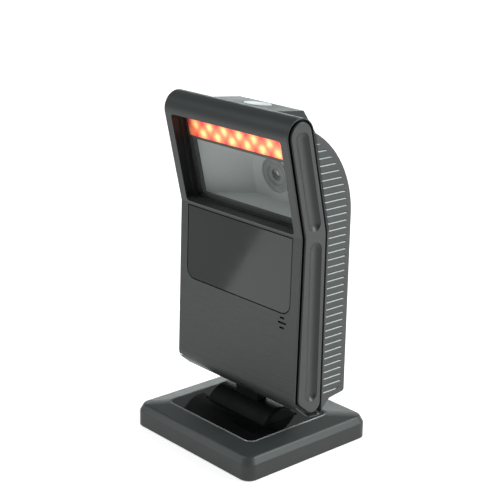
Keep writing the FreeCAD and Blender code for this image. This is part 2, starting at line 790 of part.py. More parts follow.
# ---------------------------------------------------------------- front shell and side caps
def band_points(inset):
    """Side outline of the band without its top bar, drawn inside by inset, as (y, z)."""
    inset = size(inset)
    chin = cell("chin_low_y")
    slope = (cell("chin_front") - cell("chin_low")) / (chin - face_y(cell("chin_front")))
    lift = inset * root(1 + slope * slope)
    front = face_y(cell("chin_front")) + inset
    front_low = cell("chin_front") + lift - inset * slope
    bottom_y = chin + inset * 0.4
    bottom_z = cell("chin_low") + lift - inset * 0.4 * slope
    rear = cell("band_rear") - inset
    knee_front = (knee_y + inset, knee_z - inset * 0.12)
    top_front = on_slope(cell("window_run"), inset)
    top_rear = on_slope(cell("window_run"), bar_radius * 2 - inset)
    rise = (top_rear[0] - rear) / turn("tan", lean)
    knee_rear = (rear, top_rear[1] + rise)
    return [knee_front, (front, front_low), (bottom_y, bottom_z), (rear, cell("chin_rear") + inset),
            knee_rear, top_rear, top_front]


def band_prism(body, inset, level, length, mode, middle=False, along_normal=True):
    """Add or cut the band's side outline, as its straight part and its round top."""
    for shape in ("straight", "round"):
        sketch = new_sketch(body, "YZ", level)
        if shape == "straight":
            polygon(sketch, band_points(inset))
        else:
            circle(sketch, bar_y, bar_z, bar_radius - inset)
        if mode == "add":
            add(body, sketch, length, middle=middle)
        else:
            cut(body, sketch, length, along_normal=along_normal)


def is_across(edge, y, z, slack=0.6):
    """Whether the edge runs along X through (y, z)."""
    box = edge.BoundBox
    middle_y = (box.YMin + box.YMax) / 2
    middle_z = (box.ZMin + box.ZMax) / 2
    straight = box.YLength < 0.05 and box.ZLength < 0.05 and box.XLength > 1
    return straight and abs(middle_y - y) < slack and abs(middle_z - z) < slack


def round_chin(body, inset, front_radius, low_radius, rear_radius):
    """Round the three corners at the bottom of a band outline."""
    points = band_points(inset)
    for index, radius in ((1, front_radius), (2, low_radius), (3, rear_radius)):
        y, z = (item.value for item in points[index])
        round_edges(body, radius, lambda edge, y=y, z=z: is_across(edge, y, z))


def front_shell():
    body = new_body("front_shell")
    band_prism(body, 0, 0, cell("head_width"), "add", middle=True)
    round_chin(body, 0, 6.0, 10.0, 2.2)
    for side in (-1, 1):
        level = head_half - cell("cap_recess") if side > 0 else -(head_half - cell("cap_recess"))
        band_prism(body, cell("cap_rim"), level, cell("cap_recess") + 1, "cut", along_normal=side > 0)

    # window opening and the gasket's seat behind it
    opening = new_sketch(body, "XZ", knee_y, tilt=lean, up=knee_z)
    half = open_half
    rounded_rectangle(opening, -half, cell("open_low"), half, cell("open_high"), cell("open_corner"))
    cut(body, opening, cell("reveal") + 1)
    seat_y, seat_z = on_slope(0, cell("reveal"))
    seat = new_sketch(body, "XZ", seat_y, tilt=lean, up=seat_z)
    half = open_half + cell("gasket_wall")
    rounded_rectangle(seat, -half, cell("open_low") - cell("gasket_wall"), half,
                      cell("open_high") + cell("gasket_wall"), cell("open_corner") + 0.5)
    cut(body, seat, cell("gasket_depth") + 0.1)

    # hollow behind the front wall and behind the gasket, open to the rear
    inner = band_points(wall)
    hollow = new_sketch(body, "YZ", 0)
    behind = cell("back_y")
    ledge = on_slope(cell("open_low") - cell("gasket_wall") - 1.4, seat_back)
    ledge_drop = ledge[1] - (ledge[0] - knee_y - wall) * turn("tan", lean)
    ledge_front = (face_y(ledge_drop) + wall, ledge_drop)
    lid_rise = cell("open_high") + cell("gasket_wall") * 0.5
    lid = on_slope(lid_rise, seat_back)
    lid_lip = on_slope(lid_rise, frame_back + 0.3)
    lip = on_slope(lid_rise - 2.7, frame_back + 1.9)
    lip_back = on_slope(lid_rise - 2.7, bar_radius * 2 + 6)
    polygon(hollow, [inner[1], inner[2], (cell("band_rear") + 3, cell("chin_rear") + wall),
                     (behind, cell("chin_rear") + wall), (behind, lip_back[1]), lip_back, lip,
                     lid_lip, lid, ledge, ledge_front])
    cut(body, hollow, inner_half * 2, middle=True)

    # posts for the housing screws, the main board and the hinge bracket
    post_ends = []
    for x in (-1, 1):
        post_ends.append((x * boss_x, cell("boss_low"), cell("band_rear"), cell("boss_radius")))
        post_ends.append((x * boss_x, cell("boss_high"), cell("band_rear"), cell("boss_radius")))
        for z in board_screw_heights():
            post_ends.append((x * board_screw_x(), z, cell("board_y"), size(2.6)))
        post_ends.append((x * bracket_screw_x(), bracket_screw_z(), bracket_front(), size(2.8)))
    for x, z, end, radius in post_ends:
        start = face_y(z) + wall * 0.5
        post = new_sketch(body, "XZ", start)
        circle(post, x, z, radius)
        add(body, post, end - start, reverse=True)
        pilot = new_sketch(body, "XZ", end)
        circle(pilot, x, z, cell("head_screw_radius") + cell("thread_gap"))
        cut(body, pilot, 7.0, along_normal=True)

    # pocket for the glossy panel, and the sound slots below it
    panel = new_sketch(body, "XZ", knee_y, tilt=back_lean, up=knee_z)
    panel_outline(panel, cell("panel_gap"))
    cut(body, panel, cell("panel_thick") + 0.1)
    slots = new_sketch(body, "XZ", knee_y, tilt=back_lean, up=knee_z)
    for step, length in ((-1, "slot_short"), (0, "slot_long"), (1, "slot_short")):
        middle = (cell("slot_z") - knee_z) + cell("slot_pitch") * step
        reach = cell(length) / 2
        rectangle(slots, slot_x - reach, middle - cell("slot_height") / 2,
                  slot_x + reach, middle + cell("slot_height") / 2)
    cut(body, slots, wall + 1)

    # the slot that the neck's column swings in
    wedge = new_sketch(body, "YZ", 0)
    polygon(wedge, swing_wedge())
    cut(body, wedge, slot_half * 2, middle=True)

    # the notch under the top deck's front tongue
    notch = flank_sketch(body, cell("fit_gap"))
    deck_section(notch, tongue_floor() - cell("fit_gap"), cell("fit_gap"))
    cut(body, notch, 12)
    front_fine_edges(body)


def front_fine_edges(body):
    """Soften the two long outer side edges of the band's front face."""
    def outer_front(edge):
        box = edge.BoundBox
        at_side = abs(abs(box.XMin) - head_half.value) < 0.02 and box.XLength < 0.02
        low_run = box.ZMax < knee_z.value + 0.5 and box.YMax < knee_y.value + 0.1
        high_run = box.ZMin > knee_z.value - 0.5 and box.YMax < knee_y.value + 0.1
        return at_side and box.ZLength > 25 and (low_run or high_run)
    round_edges(body, 0.35, outer_front)


def swing_wedge():
    """What the neck's column sweeps from one end of the tilt to the other, with room round it."""
    room = cell("column_thick") / 2 + 0.6
    reach = size(13)
    front_sin = turn("sin", cell("tilt_forward"))
    front_cos = turn("cos", cell("tilt_forward"))
    rear_sin = turn("sin", cell("tilt_back"))
    rear_cos = turn("cos", cell("tilt_back"))
    front = (-room * front_cos, hinge_z + room * front_sin)
    rear = (room * rear_cos, hinge_z + room * rear_sin)
    return [front, (front[0] - reach * front_sin, front[1] - reach * front_cos),
            (rear[0] + reach * rear_sin, rear[1] - reach * rear_cos), rear]


def panel_outline(sketch, gap):
    """Front panel: square at the top, round at its lower corners."""
    half = panel_half + gap
    low = cell("panel_low") - knee_z - gap
    high = cell("panel_high") - knee_z + gap
    radius = cell("panel_corner") + gap
    first = sketch.GeometryCount
    runs = [((-half + radius, low), (half - radius, low)), ((half, low + radius), (half, high)),
            ((half, high), (-half, high)), ((-half, high), (-half, low + radius))]
    for start, end in runs:
        sketch.addGeometry(Part.LineSegment(vector(*start), vector(*end)))
    right = arc(sketch, half - radius, low + radius, radius, 270, 360)
    left = arc(sketch, -half + radius, low + radius, radius, 180, 270)
    joints = [("Tangent", first, 2, right, 1), ("Tangent", right, 2, first + 1, 1),
              ("Coincident", first + 1, 2, first + 2, 1), ("Coincident", first + 2, 2, first + 3, 1),
              ("Tangent", first + 3, 2, left, 1), ("Tangent", left, 2, first, 1),
              ("Horizontal", first), ("Vertical", first + 1), ("Horizontal", first + 2),
              ("Vertical", first + 3), ("Equal", right, left)]
    for joint in joints:
        sketch.addConstraint(Sketcher.Constraint(*joint))
    dimension(sketch, "Radius", (right,), (), radius)
    dimension(sketch, "DistanceY", (-1, 1), (first, 1), low)
    pin_point(sketch, first + 2, 1, half, high)
    dimension(sketch, "DistanceX", (-1, 1), (first + 3, 1), -half)


def front_panel():
    body = new_body("front_panel")
    stand_on_front(body, back_lean, knee_y, knee_z)
    outline = new_sketch(body, "XY", -cell("panel_thick"))
    panel_outline(outline, size(0))
    add(body, outline, cell("panel_thick"))
    bevel_edges(body, 0.2, lambda edge: on_plane_local(edge, body, 0.0))


def on_plane_local(edge, body, level):
    """Whether an edge lies at one height along the body's own Z."""
    inverse = body.Placement.inverse()
    points = [inverse.multVec(vertex.Point) for vertex in edge.Vertexes]
    moved = any(abs(point.z - level) > 0.02 for point in points)
    plain = all(abs(vertex.Z - level) < 0.02 for vertex in edge.Vertexes)
    return plain or not moved


def side_cap(label, side):
    """Trim in the band's side, with two long round-bottomed grip grooves."""
    body = new_body(label)
    floor = head_half - cell("cap_recess")
    level = floor if side > 0 else -head_half
    inset = cell("cap_inset")
    shift = cell("cap_shift")
    for shape in ("straight", "round"):
        sketch = new_sketch(body, "YZ", level)
        if shape == "straight":
            polygon(sketch, [(y + shift, z) for y, z in band_points(inset)])
        else:
            circle(sketch, bar_y + shift, bar_z, bar_radius - inset)
        add(body, sketch, cell("cap_recess"))
    points = [(y + shift, z) for y, z in band_points(inset)]
    for index, radius in ((1, 5.0), (2, 7.5), (3, 4.5)):
        y, z = (item.value for item in points[index])
        round_edges(body, radius, lambda edge, y=y, z=z: is_across(edge, y, z))
    outer = (head_half * side).value
    bevel_edges(body, 0.45, lambda edge: on_plane(edge, 0, outer))
    half = cell("groove_half")
    depth = cell("groove_depth")
    radius = (half * half + depth * depth) / (depth * 2)
    level = (head_half + radius - depth) * side
    axis_depth = bar_radius + shift + 0.1
    runs = [
        ((cell("groove_y"), 32.2), (cell("groove_y"), 98.6)),
        (on_slope(3.4, axis_depth), on_slope(cell("window_run") - 2.0, axis_depth)),
    ]
    for start, end in runs:
        sketch = new_sketch(body, "YZ", level)
        half_capsule(sketch, start, end, radius)
        groove = body.newObject("PartDesign::Groove", body.Label + "_groove")
        groove.Profile = sketch
        groove.ReferenceAxis = (sketch, ["Axis0"])
        groove.Angle = 360.0
        cuts.append(groove)


def half_capsule(sketch, start, end, radius):
    """Half of a slot outline, closed along its own axis, with that axis as a construction line."""
    x0, y0 = (size(item) for item in start)
    x1, y1 = (size(item) for item in end)
    low = vector(x0, y0)
    high = vector(x1, y1)
    along = (high - low).normalize()
    side = FreeCAD.Vector(-along.y, along.x, 0)
    reach = size(radius).value
    turned = math.degrees(math.atan2(along.y, along.x))
    middle = sketch.addGeometry(Part.LineSegment(low - along * reach, high + along * reach))
    top = arc(sketch, x1, y1, radius, turned, turned + 90)
    flank = sketch.addGeometry(Part.LineSegment(high + side * reach, low + side * reach))
    foot = arc(sketch, x0, y0, radius, turned + 90, turned + 180)
    for joint in (("Coincident", middle, 2, top, 1), ("Tangent", top, 2, flank, 1),
                  ("Tangent", flank, 2, foot, 1), ("Coincident", foot, 2, middle, 1),
                  ("PointOnObject", top, 3, middle), ("PointOnObject", foot, 3, middle),
                  ("Equal", top, foot)):
        sketch.addConstraint(Sketcher.Constraint(*joint))
    pin_point(sketch, top, 3, x1, y1)
    pin_point(sketch, foot, 3, x0, y0)
    dimension(sketch, "Radius", (top,), (), radius)
    axis = sketch.addGeometry(Part.LineSegment(low, high), True)
    sketch.addConstraint(Sketcher.Constraint("Coincident", axis, 1, foot, 3))
    sketch.addConstraint(Sketcher.Constraint("Coincident", axis, 2, top, 3))


# ---------------------------------------------------------------- rear housing
def tongue_floor():
    return cell("deck_z") - 4.6


def flank_sketch(body, gap):
    """A sketch square to the deck's side edges: x across, y above the deck, at its front edge."""
    slope = cell("deck_slope")
    gap = size(gap)
    return new_sketch(body, "XZ", cell("deck_front") - gap, tilt=-slope, up=cell("deck_z"))


def deck_section(sketch, bottom, gap):
    """Cross-section of the raised deck: flat on top, with flanks that fall to the sides."""
    half = deck_half
    fall = turn("tan", cell("flank_slope"))
    gap = size(gap)
    low = cell("deck_z") - bottom
    reach = half + (low + gap) / fall
    polygon(sketch, [(-reach, -low), (reach, -low), (half, gap), (half, 3), (-half, 3), (-half, gap)])


def behind_band(z):
    """Just behind the band's sloping rear line, at a height."""
    edge_y, edge_z = on_slope(cell("window_run"), bar_radius * 2)
    return edge_y - (size(z) - edge_z) * turn("tan", lean) + 0.05


def deck_height(y):
    return cell("deck_z") - (size(y) - cell("deck_front")) * turn("tan", cell("deck_slope"))


def housing_outline(sketch, inset, front_gap):
    """Side outline of the rear housing: heel, straight back and the curved upper back."""
    inset = size(inset)
    front = cell("band_rear") + front_gap
    rear = cell("back_y") - inset
    radius = cell("back_radius") - inset
    centre = cell("back_y") - cell("back_radius")
    start = (front, cell("heel_low") + inset * 1.2)
    heel = (cell("heel_y") + inset * 0.3, cell("heel_z") + inset)
    rear_low = (rear, cell("heel_rear") + inset)
    top_rear = on_slope(cell("window_run"), bar_radius * 2)
    knee_rear = (front, top_rear[1] + (top_rear[0] + size(front_gap) - front) / turn("tan", lean))
    points = [start, heel, rear_low, (rear, cell("back_arc_z"))]
    top = slope_meets_arc(knee_rear, centre, radius)
    first = sketch.GeometryCount
    for begin, end in zip(points, points[1:]):
        sketch.addGeometry(Part.LineSegment(vector(*begin), vector(*end)))
    sweep = math.degrees(math.atan2((top[1] - cell("back_arc_z")).value, (top[0] - centre).value))
    curve = arc(sketch, centre, cell("back_arc_z"), radius, 0, sweep)
    slope = sketch.addGeometry(Part.LineSegment(vector(*top), vector(*knee_rear)))
    close = sketch.addGeometry(Part.LineSegment(vector(*knee_rear), vector(*start)))
    chain = [(first, first + 1), (first + 1, first + 2), (first + 2, curve), (curve, slope),
             (slope, close), (close, first)]
    for one, other in chain:
        sketch.addConstraint(Sketcher.Constraint("Coincident", one, 2, other, 1))
    for index in range(3):
        pin_point(sketch, first + index, 1, *points[index])
    pin_point(sketch, curve, 3, centre, cell("back_arc_z"))
    dimension(sketch, "Radius", (curve,), (), radius)
    dimension(sketch, "DistanceY", (-1, 1), (curve, 1), cell("back_arc_z"))
    dimension(sketch, "DistanceX", (-1, 1), (slope, 1), top[0])
    pin_point(sketch, slope, 2, *knee_rear)


def slope_meets_arc(start, centre, radius):
    """Where the line up the window's slope from a point meets the upper back's curve."""
    dy = start[0] - centre
    dz = start[1] - cell("back_arc_z")
    along = dz * cos_lean - dy * sin_lean
    reach = root(along * along - dy * dy - dz * dz + radius * radius) - along
    return start[0] - reach * sin_lean, start[1] + reach * cos_lean


def deck_block():
    """The raised deck: sloping top, falling flanks, and a tongue over the round top bar."""
    body = helper_body("deck_block")
    side_view = new_sketch(body, "YZ", 0)
    low = tongue_floor()
    rear = cell("deck_back")
    polygon(side_view, [(cell("deck_front"), low), (behind_band(low), low),
                        (behind_band(138), 138), (rear + 3.0, 138), (rear, deck_height(rear)),
                        (cell("deck_front"), cell("deck_z"))])
    add(body, side_view, head_half * 1.9, middle=True)
    half = deck_half
    out = head_half + 6
    fall = (out - half) * turn("tan", cell("flank_slope"))
    end = head_half - cell("flank_end")
    slant = (cell("flank_back") - rear) / (end - half)
    for side in (-1, 1):
        flank = flank_sketch(body, 2)
        polygon(flank, [(side * half, 0), (side * out, -fall), (side * out, 4), (side * half, 4)])
        cut(body, flank, 40)
        corner = new_sketch(body, "XY", 130)
        polygon(corner, [(side * half, rear), (side * half, rear + 14), (side * out, rear + 14),
                         (side * out, rear + slant * (out - half))])
        cut(body, corner, 40, along_normal=True)
    return body


def rear_housing():
    body = helper_body("rear_shell_plain")
    main = new_sketch(body, "YZ", 0)
    housing_outline(main, size(0), size(0.05))
    add(body, main, cell("head_width"), middle=True)
    back = cell("back_y").value
    round_edges(body, 1.6, lambda edge: is_across(edge, back, cell("heel_rear").value))

    def outer_back(edge):
        box = edge.BoundBox
        side = abs(abs(box.XMin) - head_half.value) < 0.02 and box.XLength < 0.02
        behind = box.YMin > cell("heel_y").value - 0.3
        curved = box.ZMax > 140 and box.ZMin < cell("back_arc_z").value + 1
        return side and (behind or curved) and box.ZLength > 0.4
    round_edges(body, 1.0, outer_back)
    joined = body.newObject("PartDesign::Boolean", "deck_joined")
    joined.setObjects([deck_block()])
    joined.Type = "Fuse"

    # hollow
    hollow = new_sketch(body, "YZ", 0)
    housing_outline(hollow, wall, size(0.05))
    cut(body, hollow, (head_half - wall) * 2, middle=True)

    # room for the button and what is under it
    well = deck_sketch(body, -button_skin())
    circle(well, 0, 0, cell("button_radius") + cell("button_rim") + cell("button_gap"))
    cut(body, well, 12)
    bore = deck_sketch(body, size(2))
    circle(bore, 0, 0, cell("button_radius") + cell("button_gap"))
    cut(body, bore, 6)
    room = deck_sketch(body, -button_skin() - 1.4)
    rectangle(room, -13, -board_room(), 13, board_room())
    cut(body, room, 9)
    pins = deck_sketch(body, -button_skin() - 0.4)
    for side in (-1, 1):
        circle(pins, side * button_screw_x(), 0, 2.2)
    add(body, pins, button_board_depth() - button_skin() - 0.4, reverse=True)
    pilots = deck_sketch(body, -button_board_depth())
    for side in (-1, 1):
        circle(pilots, side * button_screw_x(), 0, 0.85)
    cut(body, pilots, 3.6, along_normal=True)

    # bosses for the housing screws
    for x, z in [(sx * boss_x, height) for sx in (-1, 1) for height in boss_heights()]:
        boss = new_sketch(body, "XZ", cell("band_rear") + 0.05)
        circle(boss, x, z, cell("boss_radius"))
        add(body, boss, cell("back_y") - cell("band_rear") - 0.6, reverse=True)
        sink = new_sketch(body, "XZ", cell("back_y") + 1)
        circle(sink, x, z, cell("head_screw_radius") * 2 + 0.3)
        cut(body, sink, cell("back_y") + 1 - housing_screw_seat(), along_normal=True)
        hole = new_sketch(body, "XZ", cell("back_y") + 1)
        circle(hole, x, z, cell("head_screw_radius") + 0.2)
        cut(body, hole, 22, along_normal=True)

    # opening of the cable socket
    mouth = new_sketch(body, "XZ", cell("back_y") + 1)
    x = cell("socket_wide") / 2 + 0.5
    z = cell("socket_tall") / 2 + 0.5
    rectangle(mouth, -x, cell("socket_z") - z, x, cell("socket_z") + z)
    cut(body, mouth, 5, along_normal=True)

    ribbed(body)


def ribbed(plain):
    """Cut the side grooves: a stack of thin slabs inside a smaller copy of the side outline."""
    border = helper_body("rib_field")
    field = new_sketch(border, "YZ", 0)
    housing_outline(field, cell("rib_margin"), size(0.5))
    add(border, field, cell("head_width") + 4, middle=True)
    core = new_sketch(border, "YZ", 0)
    rectangle(core, -40, 0, 60, 200)
    cut(border, core, (head_half - cell("rib_depth")) * 2, middle=True)
    slabs = helper_body("rib_slabs")
    first = new_sketch(slabs, "XZ", 0)
    low = cell("rib_first")
    high = low + cell("rib_height")
    lip = cell("rib_lip")
    deep = head_half - cell("rib_depth") - 1
    for side in (-1, 1):
        polygon(first, [(side * deep, low + lip), (side * deep, high), (side * (head_half + 1), high),
                        (side * (head_half + 1), low - 1), (side * head_half, low),
                        (side * (head_half - lip), low + lip)])
    pad = add(slabs, first, 90, middle=True)
    pattern = slabs.newObject("PartDesign::LinearPattern", "rib_rows")
    pattern.Originals = [pad]
    pattern.Direction = (first, ["V_Axis"])
    pattern.Mode = "Spacing"
    pattern.Occurrences = int((145.6 - VALUES["rib_first"]) / VALUES["rib_pitch"]) + 1
    bind(pattern, "Offset", cell("rib_pitch"))
    slabs.Tip = pattern
    doc.recompute()
    grooves = doc.addObject("Part::Common", "rib_grooves")
    grooves.Base = border
    grooves.Tool = slabs
    made = doc.addObject("Part::Cut", "rear_housing")
    made.Label = "rear_housing"
    made.Base = plain
    made.Tool = grooves
    nodes["rear_housing"] = made


def boss_heights():
    return cell("boss_low"), cell("boss_high")


def housing_screw_seat():
    """Where the heads of the housing screws sit, along Y."""
    return cell("band_rear") + 4.2


def housing_fasteners():
    radius = cell("head_screw_radius")
    places = [(sx * boss_x, z, housing_screw_seat()) for sx in (-1, 1) for z in boss_heights()]
    screws("housing_screws", "Y", places, radius * 2, 1.6, radius, 10.5)
    places = [(sx * board_screw_x(), z, cell("board_y") + cell("board_thick"))
              for sx in (-1, 1) for z in board_screw_heights()]
    screws("board_screws", "Y", places, radius * 1.8, 1.3, radius, 7.0)
    places = [(sx * bracket_screw_x(), bracket_screw_z(), bracket_front() + 1.6) for sx in (-1, 1)]
    screws("bracket_screws", "Y", places, radius * 1.8, 1.3, radius, 7.0)


# ---------------------------------------------------------------- top button
def board_room():
    """Half the room under the deck for the button's board, along Y."""
    return size(7.6)


def deck_sketch(body, height):
    """A sketch parallel to the deck, centred on the button, at a height above the deck."""
    slope = cell("deck_slope")
    y = cell("button_y") + size(height) * turn("sin", slope)
    z = deck_height(cell("button_y")) + size(height) * turn("cos", slope)
    return new_sketch(body, "XY", z, tilt=-slope, up=y)


def button_skin():
    """Thickness of the deck round the button."""
    return size(1.6)


def button_board_depth():
    return size(8.2)


def button_screw_x():
    return size(10.4)


def stand_on_deck(body):
    """Place a body whose own XY plane is the deck, with its origin under the button's middle."""
    slope = -cell("deck_slope")
    across = FreeCAD.Vector(1, 0, 0)
    body.Placement = FreeCAD.Placement(FreeCAD.Vector(), FreeCAD.Rotation(across, slope.value))
    bind(body, "Placement.Base.y", cell("button_y"))
    bind(body, "Placement.Base.z", deck_height(cell("button_y")))
    body.setExpression("Placement.Rotation.Angle", f"{slope.text} * 1 deg")


def top_button():
    body = new_body("top_button")
    stand_on_deck(body)
    profile = new_sketch(body, "XZ", 0)
    radius = cell("button_radius")
    rim = radius + cell("button_rim")
    skin = button_skin() + 0.2
    top = cell("button_proud")
    polygon(profile, [(0, -4.3), (2.0, -4.3), (2.0, -skin - 0.8), (rim, -skin - 0.8), (rim, -skin),
                      (radius, -skin), (radius, top - 0.35), (radius - 0.35, top), (0, top + 0.1)])
    spin(body, profile, "V_Axis")


def switch_plunger():
    body = new_body("switch_plunger")
    stand_on_deck(body)
    disc = new_sketch(body, "XY", -6.4)
    circle(disc, 0, 0, 1.5)
    add(body, disc, 2.1)


def button_switch():
    body = new_body("button_switch")
    stand_on_deck(body)
    block = new_sketch(body, "XY", -button_board_depth())
    rectangle(block, -3, -3, 3, 3)
    add(body, block, 2.9)
    bore = new_sketch(body, "XY", -7.4)
    circle(bore, 0, 0, 1.6)
    cut(body, bore, 4, along_normal=True)


def button_board():
    body = new_body("button_board")
    stand_on_deck(body)
    plate = new_sketch(body, "XY", -button_board_depth() - 1.2)
    rectangle(plate, -12.6, -5.5, 12.6, 5.5)
    add(body, plate, 1.2)
    holes = new_sketch(body, "XY", -button_board_depth() - 1.2)
    for side in (-1, 1):
        circle(holes, side * button_screw_x(), 0, 1.0)
    cut(body, holes, 3, along_normal=True)


def button_screws():
    places = [(side * button_screw_x(), size(0), -button_board_depth() - 1.2) for side in (-1, 1)]
    body = screws("button_screws", "Z", places, 1.5, 1.0, 0.8, 4.4, reverse=True)
    stand_on_deck(body)


# ---------------------------------------------------------------- window, light and camera
def window_body(label):
    body = new_body(label)
    stand_on_front(body, lean, knee_y, knee_z)
    return body


def window_ring(sketch, grow, radius):
    """The window opening's outline, grown all round."""
    half = open_half + grow
    rounded_rectangle(sketch, -half, cell("open_low") - grow, half, cell("open_high") + grow, radius)


def window_gasket():
    body = window_body("window_gasket")
    outline = new_sketch(body, "XY", -seat_back)
    window_ring(outline, cell("gasket_wall") - 0.1, cell("open_corner") + 0.4)
    add(body, outline, cell("gasket_depth"))
    opening = new_sketch(body, "XY", -seat_back)
    window_ring(opening, -cell("gasket_lip"), cell("open_corner"))
    cut(body, opening, 6, along_normal=True)
    groove = new_sketch(body, "XY", -seat_back)
    window_ring(groove, -cell("gasket_lip") + 0.7, cell("open_corner"))
    cut(body, groove, cell("gasket_depth") - 0.6, along_normal=True)


def scan_window():
    body = window_body("scan_window")
    pane = new_sketch(body, "XY", -cell("reveal") - 0.65 - cell("pane_thick"))
    window_ring(pane, -cell("gasket_lip") + 0.6, cell("open_corner"))
    add(body, pane, cell("pane_thick"))


def frame_outer():
    """Half width, low and high edges of the light frame."""
    return inner_half - 0.1, cell("open_low") - 0.9, cell("open_high") - 0.2


def light_frame():
    """Dark frame behind the window: it carries the light bar and leads into the chamber."""
    body = window_body("light_frame")
    half, low, high = frame_outer()
    block = new_sketch(body, "XY", -frame_back)
    rectangle(block, -half, low, half, high)
    add(body, block, cell("frame_depth"))
    view = new_sketch(body, "XY", -frame_back)
    rectangle(view, -half + 1.0, cell("open_low") + 0.1, half - 1.0, cell("led_low") - 1.0)
    cut(body, view, 8, along_normal=True)
    tray = new_sketch(body, "XY", -light_board_back())
    rectangle(tray, -half + 1.0, cell("led_low"), half - 1.0, high - 0.8)
    cut(body, tray, 8, along_normal=True)


def light_board_back():
    return frame_back - 1.0


def light_board():
    body = window_body("light_board")
    half = frame_outer()[0] - 1.2
    plate = new_sketch(body, "XY", -light_board_back())
    rectangle(plate, -half, cell("led_low") + 0.1, half, cell("led_high"))
    add(body, plate, 1.0)


def light_leds():
    body = window_body("light_leds")
    row = new_sketch(body, "XY", -light_board_back() + 1.0)
    middle = (cell("led_low") + cell("led_high")) / 2 + 1.2
    pitch = (frame_outer()[0] - 1.2 - cell("led_margin")) / 3
    for step in range(-3, 4):
        x = pitch * step
        rectangle(row, x - 1.4, middle - 1.4, x + 1.4, middle + 1.4)
    add(body, row, 0.7)


def light_cover():
    """Clear red strip in front of the lights."""
    body = window_body("light_cover")
    half = frame_outer()[0] - 1.2
    strip = new_sketch(body, "XY", -light_board_back() + 2.0)
    rectangle(strip, -half, cell("led_low") + 0.1, half, cell("led_high"))
    add(body, strip, 0.6)


def reading_chamber():
    """Light grey funnel from the light frame back to the camera."""
    body = window_body("reading_chamber")
    skin = cell("chamber_wall")
    half = frame_outer()[0] - 1.2
    low = cell("open_low") + 0.1
    high = cell("led_low") - 1.1
    front = -frame_back - 0.05
    back = -cell("chamber_back")
    for kind, grow, end in (("PartDesign::AdditiveLoft", skin, back - skin),
                            ("PartDesign::SubtractiveLoft", size(0), back)):
        mouth = new_sketch(body, "XY", front)
        rectangle(mouth, -half - grow, low - grow, half + grow, high + grow)
        rear = new_sketch(body, "XY", end)
        x = cell("chamber_half") + grow
        rectangle(rear, -x, -1.3 - grow, x, cell("chamber_high") + grow)
        loft = body.newObject(kind, "chamber_loft")
        loft.Profile = mouth
        loft.Sections = [rear]
        loft.Ruled = True
    cuts.append(body.Group[-1])
    hole = new_sketch(body, "XY", back - skin)
    circle(hole, 0, cell("lens_height"), cell("lens_ring_radius") - 0.9)
    cut(body, hole, 4, along_normal=True)
    for side in (-1, 1):
        post = new_sketch(body, "XY", back - skin - 0.8)
        circle(post, side * camera_screw_x(), cell("lens_height"), 1.9)
        add(body, post, 0.9)
        pilot = new_sketch(body, "XY", back - skin - 0.8)
        circle(pilot, side * camera_screw_x(), cell("lens_height"), 0.85)
        cut(body, pilot, 1.8, along_normal=True)


def camera_screw_x():
    return size(11.4)


def lens_ring():
    """Stepped ring round the lens: concentric terraces that narrow towards the lens."""
    body = window_body("lens_ring")
    ring = new_sketch(body, "YZ", 0, up=-cell("chamber_back"), along=cell("lens_height"))
    outer = cell("lens_ring_radius")
    inner = cell("lens_radius") + 0.1
    polygon(ring, [(inner, -1.2), (outer - 1.1, -1.2), (outer - 1.1, 0), (outer, 0), (outer, 0.5),
                   (outer - 0.7, 0.5), (outer - 1.0, 0.1), (outer - 2.6, 0.1), (outer - 2.8, 0.4),
                   (outer - 3.3, 0.4), (outer - 3.6, -0.2), (inner, -0.2)])
    spin(body, ring, "V_Axis")


def lens_glass():
    body = window_body("lens_glass")
    dome = new_sketch(body, "YZ", 0, up=-cell("chamber_back"), along=cell("lens_height"))
    radius = cell("lens_radius")
    polygon(dome, [(0, -1.2), (radius, -1.2), (radius, -0.3), (radius * 0.8, -0.1),
                   (radius * 0.45, 0.1), (0, 0.15)])
    spin(body, dome, "V_Axis")


def camera_board():
    body = window_body("camera_board")
    front = cell("chamber_back") + cell("chamber_wall") + 0.8
    plate = new_sketch(body, "XY", -front - 1.0)
    rectangle(plate, -13.6, cell("lens_height") - 7.6, 13.6, cell("lens_height") + 5.0)
    add(body, plate, 1.0)
    holes = new_sketch(body, "XY", -front - 1.0)
    for side in (-1, 1):
        circle(holes, side * camera_screw_x(), cell("lens_height"), 0.95)
    cut(body, holes, 3, along_normal=True)


def image_sensor():
    body = window_body("image_sensor")
    front = cell("chamber_back") + cell("chamber_wall") + 0.8
    chip = new_sketch(body, "XY", -front)
    y = cell("lens_height")
    rectangle(chip, -3.6, y - 3.6, 3.6, y + 3.6)
    add(body, chip, 0.7)


def camera_screws():
    front = cell("chamber_back") + cell("chamber_wall") + 0.8
    places = [(side * camera_screw_x(), cell("lens_height"), -front - 1.0) for side in (-1, 1)]
    body = screws("camera_screws", "Z", places, 1.4, 0.7, 0.8, 2.5, reverse=True)
    stand_on_front(body, lean, knee_y, knee_z)


# ---------------------------------------------------------------- electronics
def board_screw_x():
    return board_half - 3.2


def board_screw_heights():
    return cell("board_low") + 20.0, cell("board_high") - 4.0


def main_board():
    body = new_body("main_board")
    plate = new_sketch(body, "XZ", cell("board_y"))
    half = board_half
    rectangle(plate, -half, cell("board_low"), half, cell("board_high"))
    add(body, plate, cell("board_thick"), reverse=True)
    holes = new_sketch(body, "XZ", cell("board_y"))
    for x, z in [(sx * board_screw_x(), z) for sx in (-1, 1) for z in board_screw_heights()]:
        circle(holes, x, z, cell("head_screw_radius") + 0.2)
    cut(body, holes, 6, middle=True)


